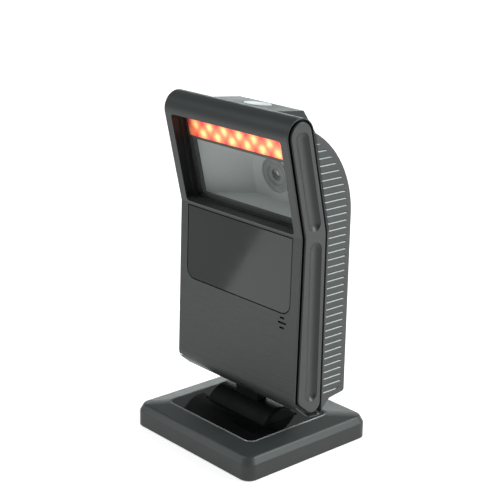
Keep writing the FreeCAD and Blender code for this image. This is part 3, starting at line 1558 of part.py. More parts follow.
def board_chips():
    """Processor, memory, connectors and a few larger components on the rear of the board."""
    body = new_body("board_chips")
    # middle and half width as shares of the board's half width, then height, half height, thickness
    places = [(-0.35, 0.27, 74, 7, 1.6), (0.31, 0.17, 78, 6, 1.3), (0.46, 0.12, 62, 3, 2.4),
              (-0.50, 0.19, 58, 2.2, 2.8), (0.08, 0.13, 60, 3.5, 1.2), (-0.08, 0.35, 90, 2.4, 3.2),
              (0.54, 0.09, 90, 1.8, 1.4)]
    face = cell("board_y") + cell("board_thick")
    for middle_share, half_share, z, half_z, height in places:
        x = board_half * middle_share
        half_x = board_half * half_share
        chip = new_sketch(body, "XZ", face)
        rectangle(chip, x - half_x, z - half_z, x + half_x, z + half_z)
        add(body, chip, height, reverse=True)


def buzzer():
    body = new_body("buzzer")
    stand_on_front(body, back_lean, knee_y, knee_z)
    top = -wall / turn("cos", cell("lower_lean")) - 0.05
    height = cell("slot_z") - knee_z
    can = new_sketch(body, "XY", top - 3.4)
    circle(can, slot_x, height, cell("buzzer_radius"))
    add(body, can, 3.4)
    vent = new_sketch(body, "XY", top - 1.0)
    circle(vent, slot_x, height, 1.2)
    cut(body, vent, 3, along_normal=True)


def cable_socket():
    """Modular socket on the rear of the main board, open to the rear."""
    body = new_body("cable_socket")
    face = cell("board_y") + cell("board_thick")
    mouth = cell("back_y") - 0.6
    x = cell("socket_wide") / 2
    z = cell("socket_tall") / 2
    block = new_sketch(body, "XZ", face)
    middle = cell("socket_z")
    rectangle(block, -x - 1.2, middle - z - 1.2, x + 1.2, middle + z + 1.2)
    add(body, block, cell("back_y") - wall - 0.2 - face, reverse=True)
    collar = new_sketch(body, "XZ", face)
    rectangle(collar, -x - 0.35, middle - z - 0.35, x + 0.35, middle + z + 0.35)
    add(body, collar, mouth - face, reverse=True)
    hollow = new_sketch(body, "XZ", mouth)
    rectangle(hollow, -x, middle - z, x, middle + z)
    cut(body, hollow, 9.6, along_normal=True)


def cable_contacts():
    """Spring wires of the socket."""
    body = new_body("socket_contacts")
    back = cell("back_y") - 0.6 - 9.6
    low = cell("socket_z") - cell("socket_tall") / 2
    for step in range(-4, 4):
        wire = new_sketch(body, "YZ", 1.2 * step + 0.45)
        polygon(wire, [(back, low + 5.2), (back, low + 5.7), (back + 5.5, low + 2.6),
                       (back + 5.3, low + 2.2)])
        add(body, wire, 0.3)


# ---------------------------------------------------------------- build
BUILDERS = [
    base_cover, base_inlay, base_weight, bottom_plate, rubber_feet, neck, hinge_bush, base_fasteners,
    tilt_shaft, hinge_rings, hinge_bracket, front_shell, front_panel,
    window_gasket, scan_window, light_frame, light_board, light_leds, light_cover, reading_chamber,
    lens_ring, lens_glass, camera_board, image_sensor, camera_screws, main_board, board_chips,
    buzzer, cable_socket, cable_contacts, rear_housing, housing_fasteners,
    top_button, switch_plunger, button_switch, button_board, button_screws,
]
for builder in BUILDERS:
    builder()
side_cap("side_cap_right", 1)
side_cap("side_cap_left", -1)
doc.recompute()

for thing in doc.Objects:
    if "Invalid" in thing.State or "Error" in thing.State:
        raise RuntimeError(f"{thing.Name} did not recompute: {thing.State}")
for feature in cuts:
    before = feature.BaseFeature.Shape.Volume
    if feature.Shape.Volume > before - 1e-4:
        raise RuntimeError(f"{feature.Name} of {feature.getParentGeoFeatureGroup().Label} removes nothing")
for label, thing in nodes.items():
    shape = thing.Shape
    if shape.isNull() or not shape.isValid() or not shape.Solids:
        raise RuntimeError(f"{label} has no valid solid")
for label, thing in nodes.items():
    thing.Shape.exportStep(f"parts/{label}.step")
    box = thing.Shape.BoundBox
    print(f"{label:18s} {len(thing.Shape.Solids):2d} solids {thing.Shape.Volume:10.1f} mm3  "
          f"X {box.XMin:7.2f} {box.XMax:7.2f}  Y {box.YMin:7.2f} {box.YMax:7.2f}  "
          f"Z {box.ZMin:7.2f} {box.ZMax:7.2f}")
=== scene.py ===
"""Looks of the desktop presentation barcode scanner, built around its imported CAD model."""
import math

import bmesh
import bpy
from mathutils import Matrix, Vector


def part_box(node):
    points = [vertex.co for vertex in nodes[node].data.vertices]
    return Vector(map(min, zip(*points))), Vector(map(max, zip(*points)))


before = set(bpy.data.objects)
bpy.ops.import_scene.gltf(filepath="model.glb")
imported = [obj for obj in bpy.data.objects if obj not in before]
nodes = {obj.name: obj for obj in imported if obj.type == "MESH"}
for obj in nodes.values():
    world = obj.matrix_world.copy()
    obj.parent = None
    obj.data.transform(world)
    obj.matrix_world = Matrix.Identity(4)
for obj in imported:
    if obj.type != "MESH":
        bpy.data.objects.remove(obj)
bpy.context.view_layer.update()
MM = 0.001

# ---------------------------------------------------------------- places, from the frame
face_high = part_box("front_panel")[1]
leds_low, leds_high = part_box("light_leds")
strip_low, strip_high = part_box("light_cover")
shell_low, shell_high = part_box("front_shell")
inlay_low, inlay_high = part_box("base_inlay")


# ---------------------------------------------------------------- colours, in linear light
def rgb(red, green, blue):
    """An opaque colour."""
    return (red, green, blue, 1.0)


def tinted(colour, factor, lift=0.0):
    """A colour made brighter or darker, no brighter than white."""
    return rgb(*(min(1.0, channel * factor + lift) for channel in colour[:3]))


COOL_WHITE = rgb(0.92, 1.0, 0.985)
# Colour of the painted glow inside the reading chamber.
PAINTED_GLOW_WHITE = rgb(0.95, 1.0, 0.985)
# Painted shade for recesses and the walls down in them.
RECESS_PAINTED_SHADE = rgb(0.004, 0.0044, 0.0044)
DUST_FREE = rgb(0.0035, 0.0038, 0.0038)
DUST = rgb(0.020, 0.021, 0.021)
# Painted highlight along the inlay's outer rim.
RIM_PAINTED_HIGHLIGHT = rgb(0.80, 0.83, 0.82)
# Painted edge highlight and wear on the shell.
SHELL_EDGE_WEAR_AND_HIGHLIGHT = rgb(0.09, 0.094, 0.095)
# Painted shade for the forward-facing sides of the cap grooves.
GROOVE_PAINTED_SHADE = rgb(0.009, 0.0098, 0.0097)
# Painted highlight for the housing's rib lips.
LIP_PAINTED_HIGHLIGHT = rgb(0.50, 0.52, 0.51)
# Painted shade for the base cover's upright walls.
WALL_PAINTED_SHADE = rgb(0.010, 0.0115, 0.0112)


# ---------------------------------------------------------------- material helpers
class Shader:
    """A material's node tree with one Principled shader, built step by step."""

    NOISE_LOW, NOISE_HIGH = 0.3, 0.7    # where most of a noise's values lie

    def __init__(self, name, **sockets):
        self.material = bpy.data.materials.new(name)
        self.material.use_nodes = True
        self.tree = self.material.node_tree
        self.nodes = self.tree.nodes
        self.shader = self.nodes["Principled BSDF"]
        self.output = self.nodes["Material Output"]
        self.coordinates = self.nodes.new("ShaderNodeTexCoord").outputs["Object"]
        for socket, value in sockets.items():
            self.shader.inputs[socket.replace("_", " ")].default_value = value

    def link(self, source, target):
        self.tree.links.new(source, target)

    def set(self, socket, source):
        self.link(source, self.shader.inputs[socket])

    def parts(self, vector):
        """A vector's X, Y and Z."""
        node = self.nodes.new("ShaderNodeSeparateXYZ")
        self.link(vector, node.inputs[0])
        return node.outputs

    def place(self):
        """X, Y and Z of the point on the object."""
        return self.parts(self.coordinates)

    def facing(self):
        """X, Y and Z of the direction that the surface faces in the room."""
        return self.parts(self.nodes.new("ShaderNodeNewGeometry").outputs["Normal"])

    def scaled(self, scale, turn=(0.0, 0.0, 0.0)):
        """Object coordinates turned, then stretched."""
        mapping = self.nodes.new("ShaderNodeMapping")
        mapping.vector_type = "POINT"
        mapping.inputs["Scale"].default_value = scale
        mapping.inputs["Rotation"].default_value = turn
        self.link(self.coordinates, mapping.inputs["Vector"])
        return mapping.outputs["Vector"]

    def noise(self, scale, detail=3.0, roughness=0.5, stretch=(1.0, 1.0, 1.0)):
        texture = self.nodes.new("ShaderNodeTexNoise")
        texture.inputs["Scale"].default_value = scale
        texture.inputs["Detail"].default_value = detail
        texture.inputs["Roughness"].default_value = roughness
        self.link(self.scaled(stretch), texture.inputs["Vector"])
        return texture.outputs["Fac"]

    def ramp(self, source, stops):
        """Map a value through (position, colour) stops."""
        ramp = self.nodes.new("ShaderNodeValToRGB")
        elements = ramp.color_ramp.elements
        while len(elements) < len(stops):
            elements.new(0.5)
        for element, (position, colour) in zip(elements, stops):
            element.position = position
            element.color = colour
        self.link(source, ramp.inputs["Fac"])
        return ramp.outputs["Color"]

    def between(self, source, low, high, from_low=0.0, from_high=1.0):
        """Map a value from one range to another, clamped."""
        mapped = self.nodes.new("ShaderNodeMapRange")
        mapped.inputs["From Min"].default_value = from_low
        mapped.inputs["From Max"].default_value = from_high
        mapped.inputs["To Min"].default_value = low
        mapped.inputs["To Max"].default_value = high
        self.link(source, mapped.inputs["Value"])
        return mapped.outputs["Result"]

    def spread(self, noise, low=0.0, high=1.0):
        """Map a noise's usual values to a range."""
        return self.between(noise, low, high, self.NOISE_LOW, self.NOISE_HIGH)

    def math(self, operation, first, second=None):
        """One sum on plain numbers or sockets."""
        node = self.nodes.new("ShaderNodeMath")
        node.operation = operation
        for index, item in enumerate((first, second)):
            if item is None:
                continue
            if isinstance(item, (int, float)):
                node.inputs[index].default_value = item
            else:
                self.link(item, node.inputs[index])
        return node.outputs[0]

    def mix(self, factor, first, second):
        """Mix two colours, each a plain colour or a socket."""
        node = self.nodes.new("ShaderNodeMix")
        node.data_type = "RGBA"
        self.link(factor, node.inputs["Factor"])
        for index, item in ((6, first), (7, second)):    # a Mix node's two colour sockets
            if isinstance(item, tuple):
                node.inputs[index].default_value = item
            else:
                self.link(item, node.inputs[index])
        return node.outputs[2]

    def bump(self, *layers):
        """Stack of (height socket, strength, distance) bumps."""
        normal = None
        for height, strength, distance in layers:
            node = self.nodes.new("ShaderNodeBump")
            node.inputs["Strength"].default_value = strength
            node.inputs["Distance"].default_value = distance
            self.link(height, node.inputs["Height"])
            if normal is not None:
                self.link(normal, node.inputs["Normal"])
            normal = node.outputs["Normal"]
        self.set("Normal", normal)


# Edges are painted lighter: partly wear, partly a painted highlight.
EDGE_WIDTH = 0.6 * MM
EDGE_SAMPLES = 4
EDGE_TURNED, EDGE_FLAT = 0.86, 0.995    # how alike the two normals are on an edge and off it


def edge_wear_and_highlight(shader, amount):
    """Painted edge highlight and wear, lighter along edges: how far a rounded normal turns from
    the true one.
    """
    bevel = shader.nodes.new("ShaderNodeBevel")
    bevel.samples = EDGE_SAMPLES
    bevel.inputs["Radius"].default_value = EDGE_WIDTH
    geometry = shader.nodes.new("ShaderNodeNewGeometry")
    alike = shader.nodes.new("ShaderNodeVectorMath")
    alike.operation = "DOT_PRODUCT"
    shader.link(bevel.outputs["Normal"], alike.inputs[0])
    shader.link(geometry.outputs["Normal"], alike.inputs[1])
    return shader.between(alike.outputs["Value"], amount, 0.0, EDGE_TURNED, EDGE_FLAT)


def facing_axis(shader, axis, start, full):
    """How far a surface faces one axis, either way: 0 below start, 1 above full."""
    turned = shader.math("ABSOLUTE", shader.facing()[axis])
    return shader.between(turned, 0.0, 1.0, start, full)


def moulded(name, dark, light, roughness, grain, grain_scale, wear_and_edge_highlight, **sockets):
    """Satin moulded plastic: fine spark-eroded grain, soft blotches and paler edges, which are
    painted highlight and wear.
    """
    sockets.setdefault("Specular_IOR_Level", 0.4)
    shader = Shader(name, **sockets)
    blotch = shader.noise(scale=55.0, detail=4.0, roughness=0.55)
    fine = shader.noise(scale=grain_scale, detail=2.0, roughness=0.6)
    plain = shader.mix(shader.spread(blotch), dark, light)
    # Painted edge highlight and wear: the colour that edges are lightened to.
    paler = tinted(light, factor=2.3, lift=0.01)
    shader.colour = shader.mix(edge_wear_and_highlight(shader, wear_and_edge_highlight), plain, paler)
    shader.set("Base Color", shader.colour)
    uneven = shader.spread(blotch, -0.04, 0.05)
    grained = shader.spread(fine, roughness - 0.05, roughness + 0.06)
    shader.set("Roughness", shader.math("ADD", uneven, grained))
    shader.bump((fine, grain, 0.04 * MM), (blotch, 0.05, 0.4 * MM))
    return shader


RIM_START, RIM_FULL = 2.4 * MM, 1.8 * MM    # in from the rim box, where the painted highlight line is let in


def glossy_black(name, roughness, level, rim_box=None):
    """Polished black plastic with very slight ripple and rare specks of dust.

    A rim box (half width, front, back) gives its outer edge a painted highlight line.
    """
    shader = Shader(name, Specular_IOR_Level=level)
    ripple = shader.noise(scale=38.0, detail=2.0, roughness=0.4)
    dust = shader.noise(scale=2400.0, detail=1.0, roughness=0.5)
    haze = shader.noise(scale=120.0, detail=4.0, roughness=0.6)
    colour = shader.mix(shader.between(dust, 0.0, 1.0, 0.74, 0.78), DUST_FREE, DUST)
    if rim_box is not None:
        half, front, back = rim_box
        place = shader.place()
        across = shader.math("SUBTRACT", shader.math("ABSOLUTE", place["X"]), half)
        ahead = shader.math("SUBTRACT", front, place["Y"])
        behind = shader.math("SUBTRACT", place["Y"], back)
        out = shader.math("MAXIMUM", across, shader.math("MAXIMUM", ahead, behind))
        border = shader.between(out, 0.0, 1.0, -RIM_START, -RIM_FULL)
        # Painted highlight: a pale line along the inlay's outer rim edge.
        rim_highlight = shader.math("MULTIPLY", edge_wear_and_highlight(shader, 1.0), border)
        colour = shader.mix(rim_highlight, colour, RIM_PAINTED_HIGHLIGHT)
    shader.set("Base Color", colour)
    shader.set("Roughness", shader.spread(haze, roughness * 0.8, roughness * 1.3))
    shader.bump((ripple, 0.02, 0.6 * MM))
    return shader


def plain_metal(name, colour, roughness):
    """Turned or rolled metal with fine marks."""
    shader = Shader(name, Metallic=1.0)
    marks = shader.noise(scale=700.0, detail=3.0, roughness=0.6, stretch=(1.0, 1.0, 14.0))
    cloud = shader.noise(scale=160.0, detail=3.0, roughness=0.5)
    shader.set("Base Color", shader.mix(cloud, tinted(colour, factor=0.75), colour))
    shader.set("Roughness", shader.spread(marks, roughness - 0.08, roughness + 0.12))
    shader.bump((marks, 0.15, 0.05 * MM))
    return shader


def rubber(name, colour, roughness):
    """Matt rubber with a coarse grain."""
    shader = Shader(name, Specular_IOR_Level=0.35)
    grain = shader.noise(scale=1500.0, detail=3.0, roughness=0.6)
    cloud = shader.noise(scale=90.0, detail=3.0, roughness=0.5)
    shader.set("Base Color", shader.mix(cloud, colour, tinted(colour, factor=1.8)))
    shader.set("Roughness", shader.spread(grain, roughness - 0.1, roughness + 0.1))
    shader.bump((grain, 0.4, 0.06 * MM))
    return shader


def dress(shader, *names):
    """Give CAD nodes a material."""
    for name in names:
        mesh = nodes[name].data
        mesh.materials.clear()
        mesh.materials.append(shader.material)


# ---------------------------------------------------------------- shells
HAIRLINE_FOOT = shell_low.z + 10 * MM
HAIRLINE_TOP = face_high.z + 1.6 * MM
HAIRLINE_FOOT_FADE, HAIRLINE_TOP_FADE = 1.2 * MM, 0.2 * MM
FORWARD_FULL, FORWARD_NONE = -0.995, -0.97
SUNK_FULL, SUNK_NONE = shell_high.x - 0.9 * MM, shell_high.x - 0.5 * MM


def lower_front(shader, place, facing):
    """1 on the shell's lower front face, 0 elsewhere."""
    foot, top = HAIRLINE_FOOT, HAIRLINE_TOP
    above = shader.between(place["Z"], 0.0, 1.0, foot, foot + HAIRLINE_FOOT_FADE)
    below = shader.between(place["Z"], 1.0, 0.0, top - HAIRLINE_TOP_FADE, top)
    forward = shader.between(facing["Y"], 1.0, 0.0, FORWARD_FULL, FORWARD_NONE)
    return shader.math("MULTIPLY", shader.math("MULTIPLY", above, below), forward)


def cap_recess(shader, place):
    """1 in the shell's side recesses, which the trims sit in and which get painted shade, 0
    elsewhere.
    """
    outward = shader.math("ABSOLUTE", place["X"])
    sunk = shader.between(outward, 1.0, 0.0, SUNK_FULL, SUNK_NONE)
    return shader.math("MULTIPLY", facing_axis(shader, "X", 0.80, 0.95), sunk)


def hairline_shell():
    """The band: satin charcoal, with fine horizontal hairlines on its lower front face only."""
    shader = Shader("shell_hairline", Specular_IOR_Level=0.36)
    place = shader.place()
    mask = lower_front(shader, place, shader.facing())
    lines = shader.noise(scale=1.0, detail=3.0, roughness=0.62, stretch=(26.0, 26.0, 2300.0))
    broad = shader.noise(scale=1.0, detail=2.0, roughness=0.5, stretch=(9.0, 9.0, 520.0))
    streak = shader.math("ADD", shader.math("MULTIPLY", lines, 0.7),
                         shader.math("MULTIPLY", broad, 0.3))
    blotch = shader.noise(scale=48.0, detail=4.0, roughness=0.5)
    fine = shader.noise(scale=2600.0, detail=2.0, roughness=0.6)
    satin = shader.mix(shader.spread(blotch), rgb(0.026, 0.028, 0.028), rgb(0.031, 0.033, 0.033))
    brushed = shader.ramp(streak, [(0.36, rgb(0.015, 0.0165, 0.0165)),
                                   (0.50, rgb(0.024, 0.0262, 0.0258)),
                                   (0.64, rgb(0.040, 0.043, 0.042))])
    colour = shader.mix(mask, satin, brushed)
    # Painted edge highlight and wear: the shell's edges are lightened.
    edged = shader.mix(edge_wear_and_highlight(shader, 0.12), colour, SHELL_EDGE_WEAR_AND_HIGHLIGHT)
    # Painted shade: the side recesses, where the trims sit, are painted near black.
    shader.set("Base Color", shader.mix(cap_recess(shader, place), edged, RECESS_PAINTED_SHADE))
    rough_plain = shader.spread(fine, 0.40, 0.50)
    rough_lines = shader.between(streak, 0.36, 0.60, 0.35, 0.65)
    elsewhere = shader.math("SUBTRACT", 1.0, mask)
    shader.set("Roughness", shader.math("ADD", shader.math("MULTIPLY", rough_lines, mask),
                                        shader.math("MULTIPLY", rough_plain, elsewhere)))
    height = shader.math("MULTIPLY", streak, mask)
    shader.bump((fine, 0.22, 0.03 * MM), (height, 0.55, 0.12 * MM))
    return shader


def cap_plastic():
    """Satin trim with painted shade: black side walls, down in the recess, and darker
    forward-facing groove sides.
    """
    shader = moulded("cap_satin", rgb(0.028, 0.030, 0.030), rgb(0.034, 0.036, 0.036),
                     roughness=0.40, grain=0.25, grain_scale=2900.0, wear_and_edge_highlight=0.50)
    face = facing_axis(shader, "X", 0.15, 0.45)
    # Painted shade: groove sides that face forward are darkened.
    forward = shader.between(shader.facing()["Y"], 1.0, 0.0, -0.40, -0.04)
    shaded_groove = shader.mix(forward, shader.colour, GROOVE_PAINTED_SHADE)
    # Painted shade: side walls, which do not face outward, are painted near black.
    shader.set("Base Color", shader.mix(face, RECESS_PAINTED_SHADE, shaded_groove))
    return shader


def housing_plastic():
    """Grained housing whose rib lips, which slope up and out, carry a painted highlight."""
    shader = moulded("housing_grain", rgb(0.036, 0.038, 0.038), rgb(0.045, 0.047, 0.047),
                     roughness=0.48, grain=0.5, grain_scale=1900.0, wear_and_edge_highlight=0.25)
    up = facing_axis(shader, "Z", 0.60, 0.68)
    level = facing_axis(shader, "Z", 0.76, 0.82)
    side = facing_axis(shader, "X", 0.60, 0.68)
    lit_lip = shader.math("MULTIPLY", shader.math("SUBTRACT", up, level), side)
    # Painted highlight: rib lips facing up and out are painted pale.
    shader.set("Base Color", shader.mix(lit_lip, shader.colour, LIP_PAINTED_HIGHLIGHT))
    return shader


def base_plastic():
    """Satin base cover whose upright walls are darker: painted shade."""
    shader = moulded("base_satin", rgb(0.028, 0.030, 0.030), rgb(0.036, 0.038, 0.038),
                     roughness=0.42, grain=0.30, grain_scale=2500.0, wear_and_edge_highlight=0.25,
                     Specular_IOR_Level=0.45)
    top = facing_axis(shader, "Z", 0.10, 0.45)
    # Painted shade: surfaces that do not face up are painted darker.
    shader.set("Base Color", shader.mix(top, WALL_PAINTED_SHADE, shader.colour))
    return shader


dress(hairline_shell(), "front_shell")
dress(cap_plastic(), "side_cap_left", "side_cap_right")
dress(housing_plastic(), "rear_housing")
dress(base_plastic(), "base_cover")
dress(moulded("plate_grain", rgb(0.022, 0.022, 0.023), rgb(0.030, 0.030, 0.031),
              roughness=0.55, grain=0.6, grain_scale=1500.0, wear_and_edge_highlight=0.15),
      "bottom_plate")

# ---------------------------------------------------------------- glossy black pieces
inlay_rim = (inlay_high.x, inlay_low.y, inlay_high.y)
dress(glossy_black("inlay_gloss", roughness=0.06, level=0.42, rim_box=inlay_rim), "base_inlay")
dress(glossy_black("neck_gloss", roughness=0.50, level=0.08), "neck")
dress(glossy_black("panel_gloss", roughness=0.09, level=0.26), "front_panel")

# ---------------------------------------------------------------- metal and rubber
dress(plain_metal("screw_steel", rgb(0.55, 0.56, 0.58), roughness=0.28),
      "base_screws", "neck_screws", "housing_screws", "board_screws", "bracket_screws",
      "camera_screws", "button_screws", "tilt_shaft", "friction_washers", "spring_washers")
dress(plain_metal("black_steel", rgb(0.06, 0.06, 0.063), roughness=0.42),
      "base_weight", "hinge_bracket", "shaft_clips")
dress(plain_metal("bush_bronze", rgb(0.50, 0.33, 0.16), roughness=0.38), "hinge_bush")
dress(plain_metal("contact_gold", rgb(0.83, 0.61, 0.24), roughness=0.22), "socket_contacts")
dress(rubber("foot_rubber", rgb(0.012, 0.012, 0.012), roughness=0.75), "rubber_feet")
dress(rubber("gasket_rubber", rgb(0.006, 0.006, 0.006), roughness=0.5), "window_gasket")


# ---------------------------------------------------------------- boards, chips and button
def circuit():
    """Green solder mask over copper traces."""
    shader = Shader("solder_mask", Roughness=0.28, Coat_Weight=0.2)
    bricks = shader.nodes.new("ShaderNodeTexBrick")
    for socket, value in (("Scale", 1.0), ("Mortar Size", 0.2 * MM), ("Brick Width", 5.2 * MM),
                          ("Row Height", 1.9 * MM), ("Color1", rgb(0.006, 0.060, 0.024)),
                          ("Color2", rgb(0.008, 0.075, 0.030)),
                          ("Mortar", rgb(0.030, 0.150, 0.060))):
        bricks.inputs[socket].default_value = value
    upright = shader.scaled((1.0, 1.0, 1.0), (math.pi / 2, 0.0, 0.0))
    shader.link(upright, bricks.inputs["Vector"])
    cloud = shader.noise(scale=140.0, detail=2.0, roughness=0.5)
    darker = shader.between(cloud, 0.0, 0.35, 0.4, 0.8)
    shader.set("Base Color", shader.mix(darker, bricks.outputs["Color"], rgb(0.004, 0.035, 0.015)))
    shader.bump((bricks.outputs["Fac"], 0.2, 0.05 * MM))
    return shader


dress(circuit(), "main_board", "camera_board", "light_board", "button_board")
dress(moulded("chip_black", rgb(0.012, 0.012, 0.012), rgb(0.018, 0.018, 0.018),
              roughness=0.5, grain=0.4, grain_scale=2600.0, wear_and_edge_highlight=0.1),
      "board_chips", "buzzer", "image_sensor", "button_switch", "cable_socket")
dress(moulded("button_silver", rgb(0.23, 0.236, 0.234), rgb(0.265, 0.271, 0.269),
              roughness=0.34, grain=0.12, grain_scale=3200.0, wear_and_edge_highlight=0.1, Metallic=0.25),
      "top_button", "switch_plunger")

# ---------------------------------------------------------------- window, chamber and lens
dress(moulded("frame_dark", rgb(0.030, 0.031, 0.032), rgb(0.040, 0.041, 0.042),
              roughness=0.42, grain=0.3, grain_scale=2600.0, wear_and_edge_highlight=0.1),
      "light_frame")
# Painted light: the chamber walls glow faintly, standing in for light inside the head.
dress(moulded("chamber_grey", rgb(0.34, 0.35, 0.347), rgb(0.38, 0.39, 0.387),
              roughness=0.55, grain=0.3, grain_scale=2200.0, wear_and_edge_highlight=0.1,
              Emission_Color=PAINTED_GLOW_WHITE, Emission_Strength=0.022),
      "reading_chamber")
# Painted light: the lens ring glows faintly, like the chamber walls.
dress(moulded("ring_grey", rgb(0.13, 0.135, 0.134), rgb(0.16, 0.165, 0.164),
              roughness=0.45, grain=0.3, grain_scale=2600.0, wear_and_edge_highlight=0.2,
              Emission_Color=PAINTED_GLOW_WHITE, Emission_Strength=0.03),
      "lens_ring")


def lens_coating():
    """Grey glass whose coating turns faintly violet where it is seen at a slant."""
    shader = Shader("lens_coating", Roughness=0.04, Coat_Weight=1.0, Coat_Roughness=0.02)
    slant = shader.nodes.new("ShaderNodeLayerWeight")
    slant.inputs["Blend"].default_value = 0.35
    colour = shader.ramp(slant.outputs["Facing"], [(0.0, rgb(0.060, 0.064, 0.068)),
                                                   (0.6, rgb(0.075, 0.072, 0.085)),
                                                   (1.0, rgb(0.10, 0.098, 0.11))])
    speck = shader.noise(scale=900.0, detail=2.0, roughness=0.5)
    speckled = shader.between(speck, 0.0, 0.2, 0.6, 0.8)
    shader.set("Base Color", shader.mix(speckled, colour, rgb(0.06, 0.06, 0.07)))
    return shader


def window_glass():
    """Thin clear pane: light passes straight through, and it reflects at a slant."""
    shader = Shader("window_glass")
    clear = shader.nodes.new("ShaderNodeBsdfTransparent")
    clear.inputs["Color"].default_value = rgb(0.97, 0.98, 0.975)
    gloss = shader.nodes.new("ShaderNodeBsdfGlossy")
    gloss.inputs["Roughness"].default_value = 0.02
    slant = shader.nodes.new("ShaderNodeFresnel")
    slant.inputs["IOR"].default_value = 1.22
    smear = shader.noise(scale=30.0, detail=3.0, roughness=0.5)
    geometry = shader.nodes.new("ShaderNodeNewGeometry")
    outside = shader.math("SUBTRACT", 1.0, geometry.outputs["Backfacing"])
    veil = shader.math("MULTIPLY", slant.outputs["Fac"], shader.spread(smear, 0.75, 1.1))
    mixed = shader.nodes.new("ShaderNodeMixShader")
    shader.link(shader.math("MULTIPLY", veil, outside), mixed.inputs["Fac"])
    shader.link(clear.outputs[0], mixed.inputs[1])
    shader.link(gloss.outputs[0], mixed.inputs[2])
    shader.link(mixed.outputs[0], shader.output.inputs["Surface"])
    shader.nodes.remove(shader.shader)
    return shader


dress(lens_coating(), "lens_glass")
dress(window_glass(), "scan_window")

# ---------------------------------------------------------------- the light bar
LED_COUNT = 7
LED_INSET = 1.4 * MM
SPOT_RADIUS = 5.0 * MM
SPOT_RIPPLE = 0.4 * MM
END_FADE = 7.0 * MM
END_RED = rgb(0.10, 0.004, 0.006)

first_led = leds_low.x + LED_INSET
led_pitch = (leds_high.x - leds_low.x - 2 * LED_INSET) / (LED_COUNT - 1)
led_height = (leds_low.z + leds_high.z) / 2
strip_middle = (strip_low.z + strip_high.z) / 2


def to_nearest_spot(shader, place, rows):
    """Distance in X and Z to the nearest spot; rows are (height, shift in x)."""
    nearest = None
    for height, shift in rows:
        shifted = shader.math("SUBTRACT", place["X"], first_led - led_pitch / 2 + shift)
        phase = shader.math("FLOORED_MODULO", shifted, led_pitch)
        across = shader.math("SUBTRACT", phase, led_pitch / 2)
        upward = shader.math("SUBTRACT", place["Z"], height)
        square = shader.math("ADD", shader.math("MULTIPLY", across, across),
                             shader.math("MULTIPLY", upward, upward))
        distance = shader.math("SQRT", square)
        nearest = distance if nearest is None else shader.math("MINIMUM", nearest, distance)
    return nearest


def glow(name, rows, strength, stops, end=None):
    """Light that is yellow-white at each spot and falls to deep red.

    With an end, in x, it also falls away just before it, on both sides.
    """
    shader = Shader(name, Emission_Strength=strength, Roughness=0.3)
    place = shader.place()
    ripple = shader.noise(scale=420.0, detail=2.0, roughness=0.5)
    uneven = shader.math("ADD", to_nearest_spot(shader, place, rows),
                         shader.spread(ripple, -SPOT_RIPPLE, SPOT_RIPPLE))
    fade = shader.between(uneven, 0.0, 1.0, 0.0, SPOT_RADIUS)
    light = shader.ramp(fade, stops)
    if end is not None:
        outward = shader.math("ABSOLUTE", place["X"])
        spent = shader.between(outward, 0.0, 1.0, end - END_FADE, end)
        light = shader.mix(spent, light, END_RED)
    shader.set("Emission Color", light)
    shader.set("Base Color", shader.mix(fade, rgb(0.5, 0.14, 0.06), rgb(0.30, 0.02, 0.015)))
    return shader


dress(glow("led_glow", [(led_height, 0.0)], strength=12.0,
           stops=[(0.00, rgb(1.0, 0.78, 0.38)),
                  (0.34, rgb(1.0, 0.42, 0.14)),
                  (0.95, rgb(0.95, 0.12, 0.06))]),
      "light_leds")
cover_rows = [(strip_middle + 1.9 * MM, 0.0), (strip_middle - 1.7 * MM, led_pitch / 2)]
dress(glow("cover_glow", cover_rows, strength=1.5, end=strip_high.x,
           stops=[(0.00, rgb(1.0, 0.78, 0.30)),
                  (0.24, rgb(1.0, 0.50, 0.16)),
                  (0.55, rgb(0.98, 0.17, 0.060)),
                  (0.95, rgb(0.62, 0.030, 0.025))]),
      "light_cover")

# ---------------------------------------------------------------- stage, light and camera
CAMERA_YAW = math.radians(48.0)
CAMERA_PITCH = math.radians(17.5)
CAMERA_ROLL = math.radians(1.0)
CAMERA_PLACE = Vector((0.4142, -0.3753, 0.2650))
CAMERA_LENS = 93.67
CAMERA_SENSOR = 36.0
CAMERA_NEAR = 0.01

FLOOR_HALF_WIDTH = 5.0
FLOOR_REACH = 4.0
FLOOR_CURVE = 2.5
FLOOR_CURVE_ANGLE = math.radians(30)
FLOOR_CURVE_STEPS = 8
FLOOR_LIGHT = 0.55

WORLD_LIGHT = 0.32
MIDDLE = (0.0, 0.0, 0.08)
LAMPS = (    # name, place, target, size, power in watts, turn about its own beam in degrees
    ("key", (-0.45, -0.85, 1.0), MIDDLE, (0.7, 0.5), 6.0, 0.0),
    ("right_rear", (0.80, 0.55, 0.55), MIDDLE, (0.25, 0.5), 8.5, 0.0),
    ("rear_top", (0.35, 0.90, 0.95), MIDDLE, (0.7, 0.4), 5.0, 0.0),
    ("rear_strip", (-1.80, 1.62, 0.38), (0.0, 0.0, 0.15), (2.0, 0.30), 13.0, 0.0),
    ("panel_card", (-0.094, -0.158, 0.034), (0.030, -0.010, 0.092), (0.080, 0.110), 0.044, -26.0),
)


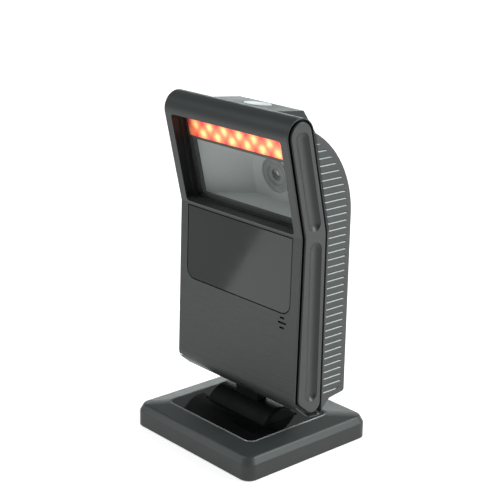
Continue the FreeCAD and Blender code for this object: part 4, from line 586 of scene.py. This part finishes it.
def make_floor():
    """Pale floor that curves up far behind the scanner."""
    profile = [(-FLOOR_REACH, 0.0), (FLOOR_REACH, 0.0)]
    for step in range(1, FLOOR_CURVE_STEPS + 1):
        angle = FLOOR_CURVE_ANGLE * step / FLOOR_CURVE_STEPS
        profile.append((FLOOR_REACH + FLOOR_CURVE * math.sin(angle),
                        FLOOR_CURVE - FLOOR_CURVE * math.cos(angle)))
    mesh = bpy.data.meshes.new("floor")
    form = bmesh.new()
    rows = [[form.verts.new((x, y, z)) for x in (-FLOOR_HALF_WIDTH, FLOOR_HALF_WIDTH)]
            for y, z in profile]
    for low, high in zip(rows, rows[1:]):
        form.faces.new((low[0], low[1], high[1], high[0]))
    form.to_mesh(mesh)
    form.free()
    for polygon in mesh.polygons:
        polygon.use_smooth = True
    floor = bpy.data.objects.new("floor", mesh)
    floor.rotation_euler = (0.0, 0.0, CAMERA_YAW)
    bpy.context.scene.collection.objects.link(floor)
    paint = Shader("floor_pale", Roughness=0.9, Specular_IOR_Level=0.1,
                   Emission_Color=rgb(1.0, 1.0, 1.0), Emission_Strength=FLOOR_LIGHT)
    cloud = paint.noise(scale=3.0, detail=2.0, roughness=0.5)
    paint.set("Base Color", paint.mix(cloud, rgb(0.93, 0.87, 0.88), rgb(0.96, 0.90, 0.91)))
    mesh.materials.append(paint.material)


def make_camera():
    """The photograph's view."""
    forward = Vector((-math.sin(CAMERA_YAW) * math.cos(CAMERA_PITCH),
                      math.cos(CAMERA_YAW) * math.cos(CAMERA_PITCH),
                      -math.sin(CAMERA_PITCH)))
    right = forward.cross(Vector((0.0, 0.0, 1.0))).normalized()
    up = right.cross(forward)
    rolled_right = right * math.cos(CAMERA_ROLL) + up * math.sin(CAMERA_ROLL)
    rolled_up = up * math.cos(CAMERA_ROLL) - right * math.sin(CAMERA_ROLL)
    turned = Matrix((rolled_right, rolled_up, -forward)).transposed().to_4x4()
    lens = bpy.data.cameras.new("camera")
    lens.lens = CAMERA_LENS
    lens.sensor_width = CAMERA_SENSOR
    lens.clip_start = CAMERA_NEAR
    camera = bpy.data.objects.new("camera", lens)
    camera.matrix_world = Matrix.Translation(CAMERA_PLACE) @ turned
    bpy.context.scene.collection.objects.link(camera)
    bpy.context.scene.camera = camera


def make_lights():
    """A dim, even world and the studio's lamps, which the camera doesn't see."""
    world = bpy.data.worlds.new("studio")
    world.use_nodes = True
    background = world.node_tree.nodes["Background"]
    background.inputs["Color"].default_value = COOL_WHITE
    background.inputs["Strength"].default_value = WORLD_LIGHT
    bpy.context.scene.world = world
    for name, place, target, size, power, turn in LAMPS:
        lamp = bpy.data.lights.new(name, "AREA")
        lamp.shape = "RECTANGLE"
        lamp.size, lamp.size_y = size
        lamp.energy = power
        lamp.color = COOL_WHITE[:3]
        fitting = bpy.data.objects.new(name, lamp)
        fitting.location = place
        beam = Vector(target) - Vector(place)
        fitting.rotation_euler = beam.to_track_quat("-Z", "Y").to_euler()
        fitting.rotation_euler.rotate_axis("Z", math.radians(turn))
        fitting.visible_camera = False
        bpy.context.scene.collection.objects.link(fitting)


make_floor()
make_camera()
make_lights()

scene_view = bpy.context.scene.view_settings
scene_view.view_transform = "Standard"
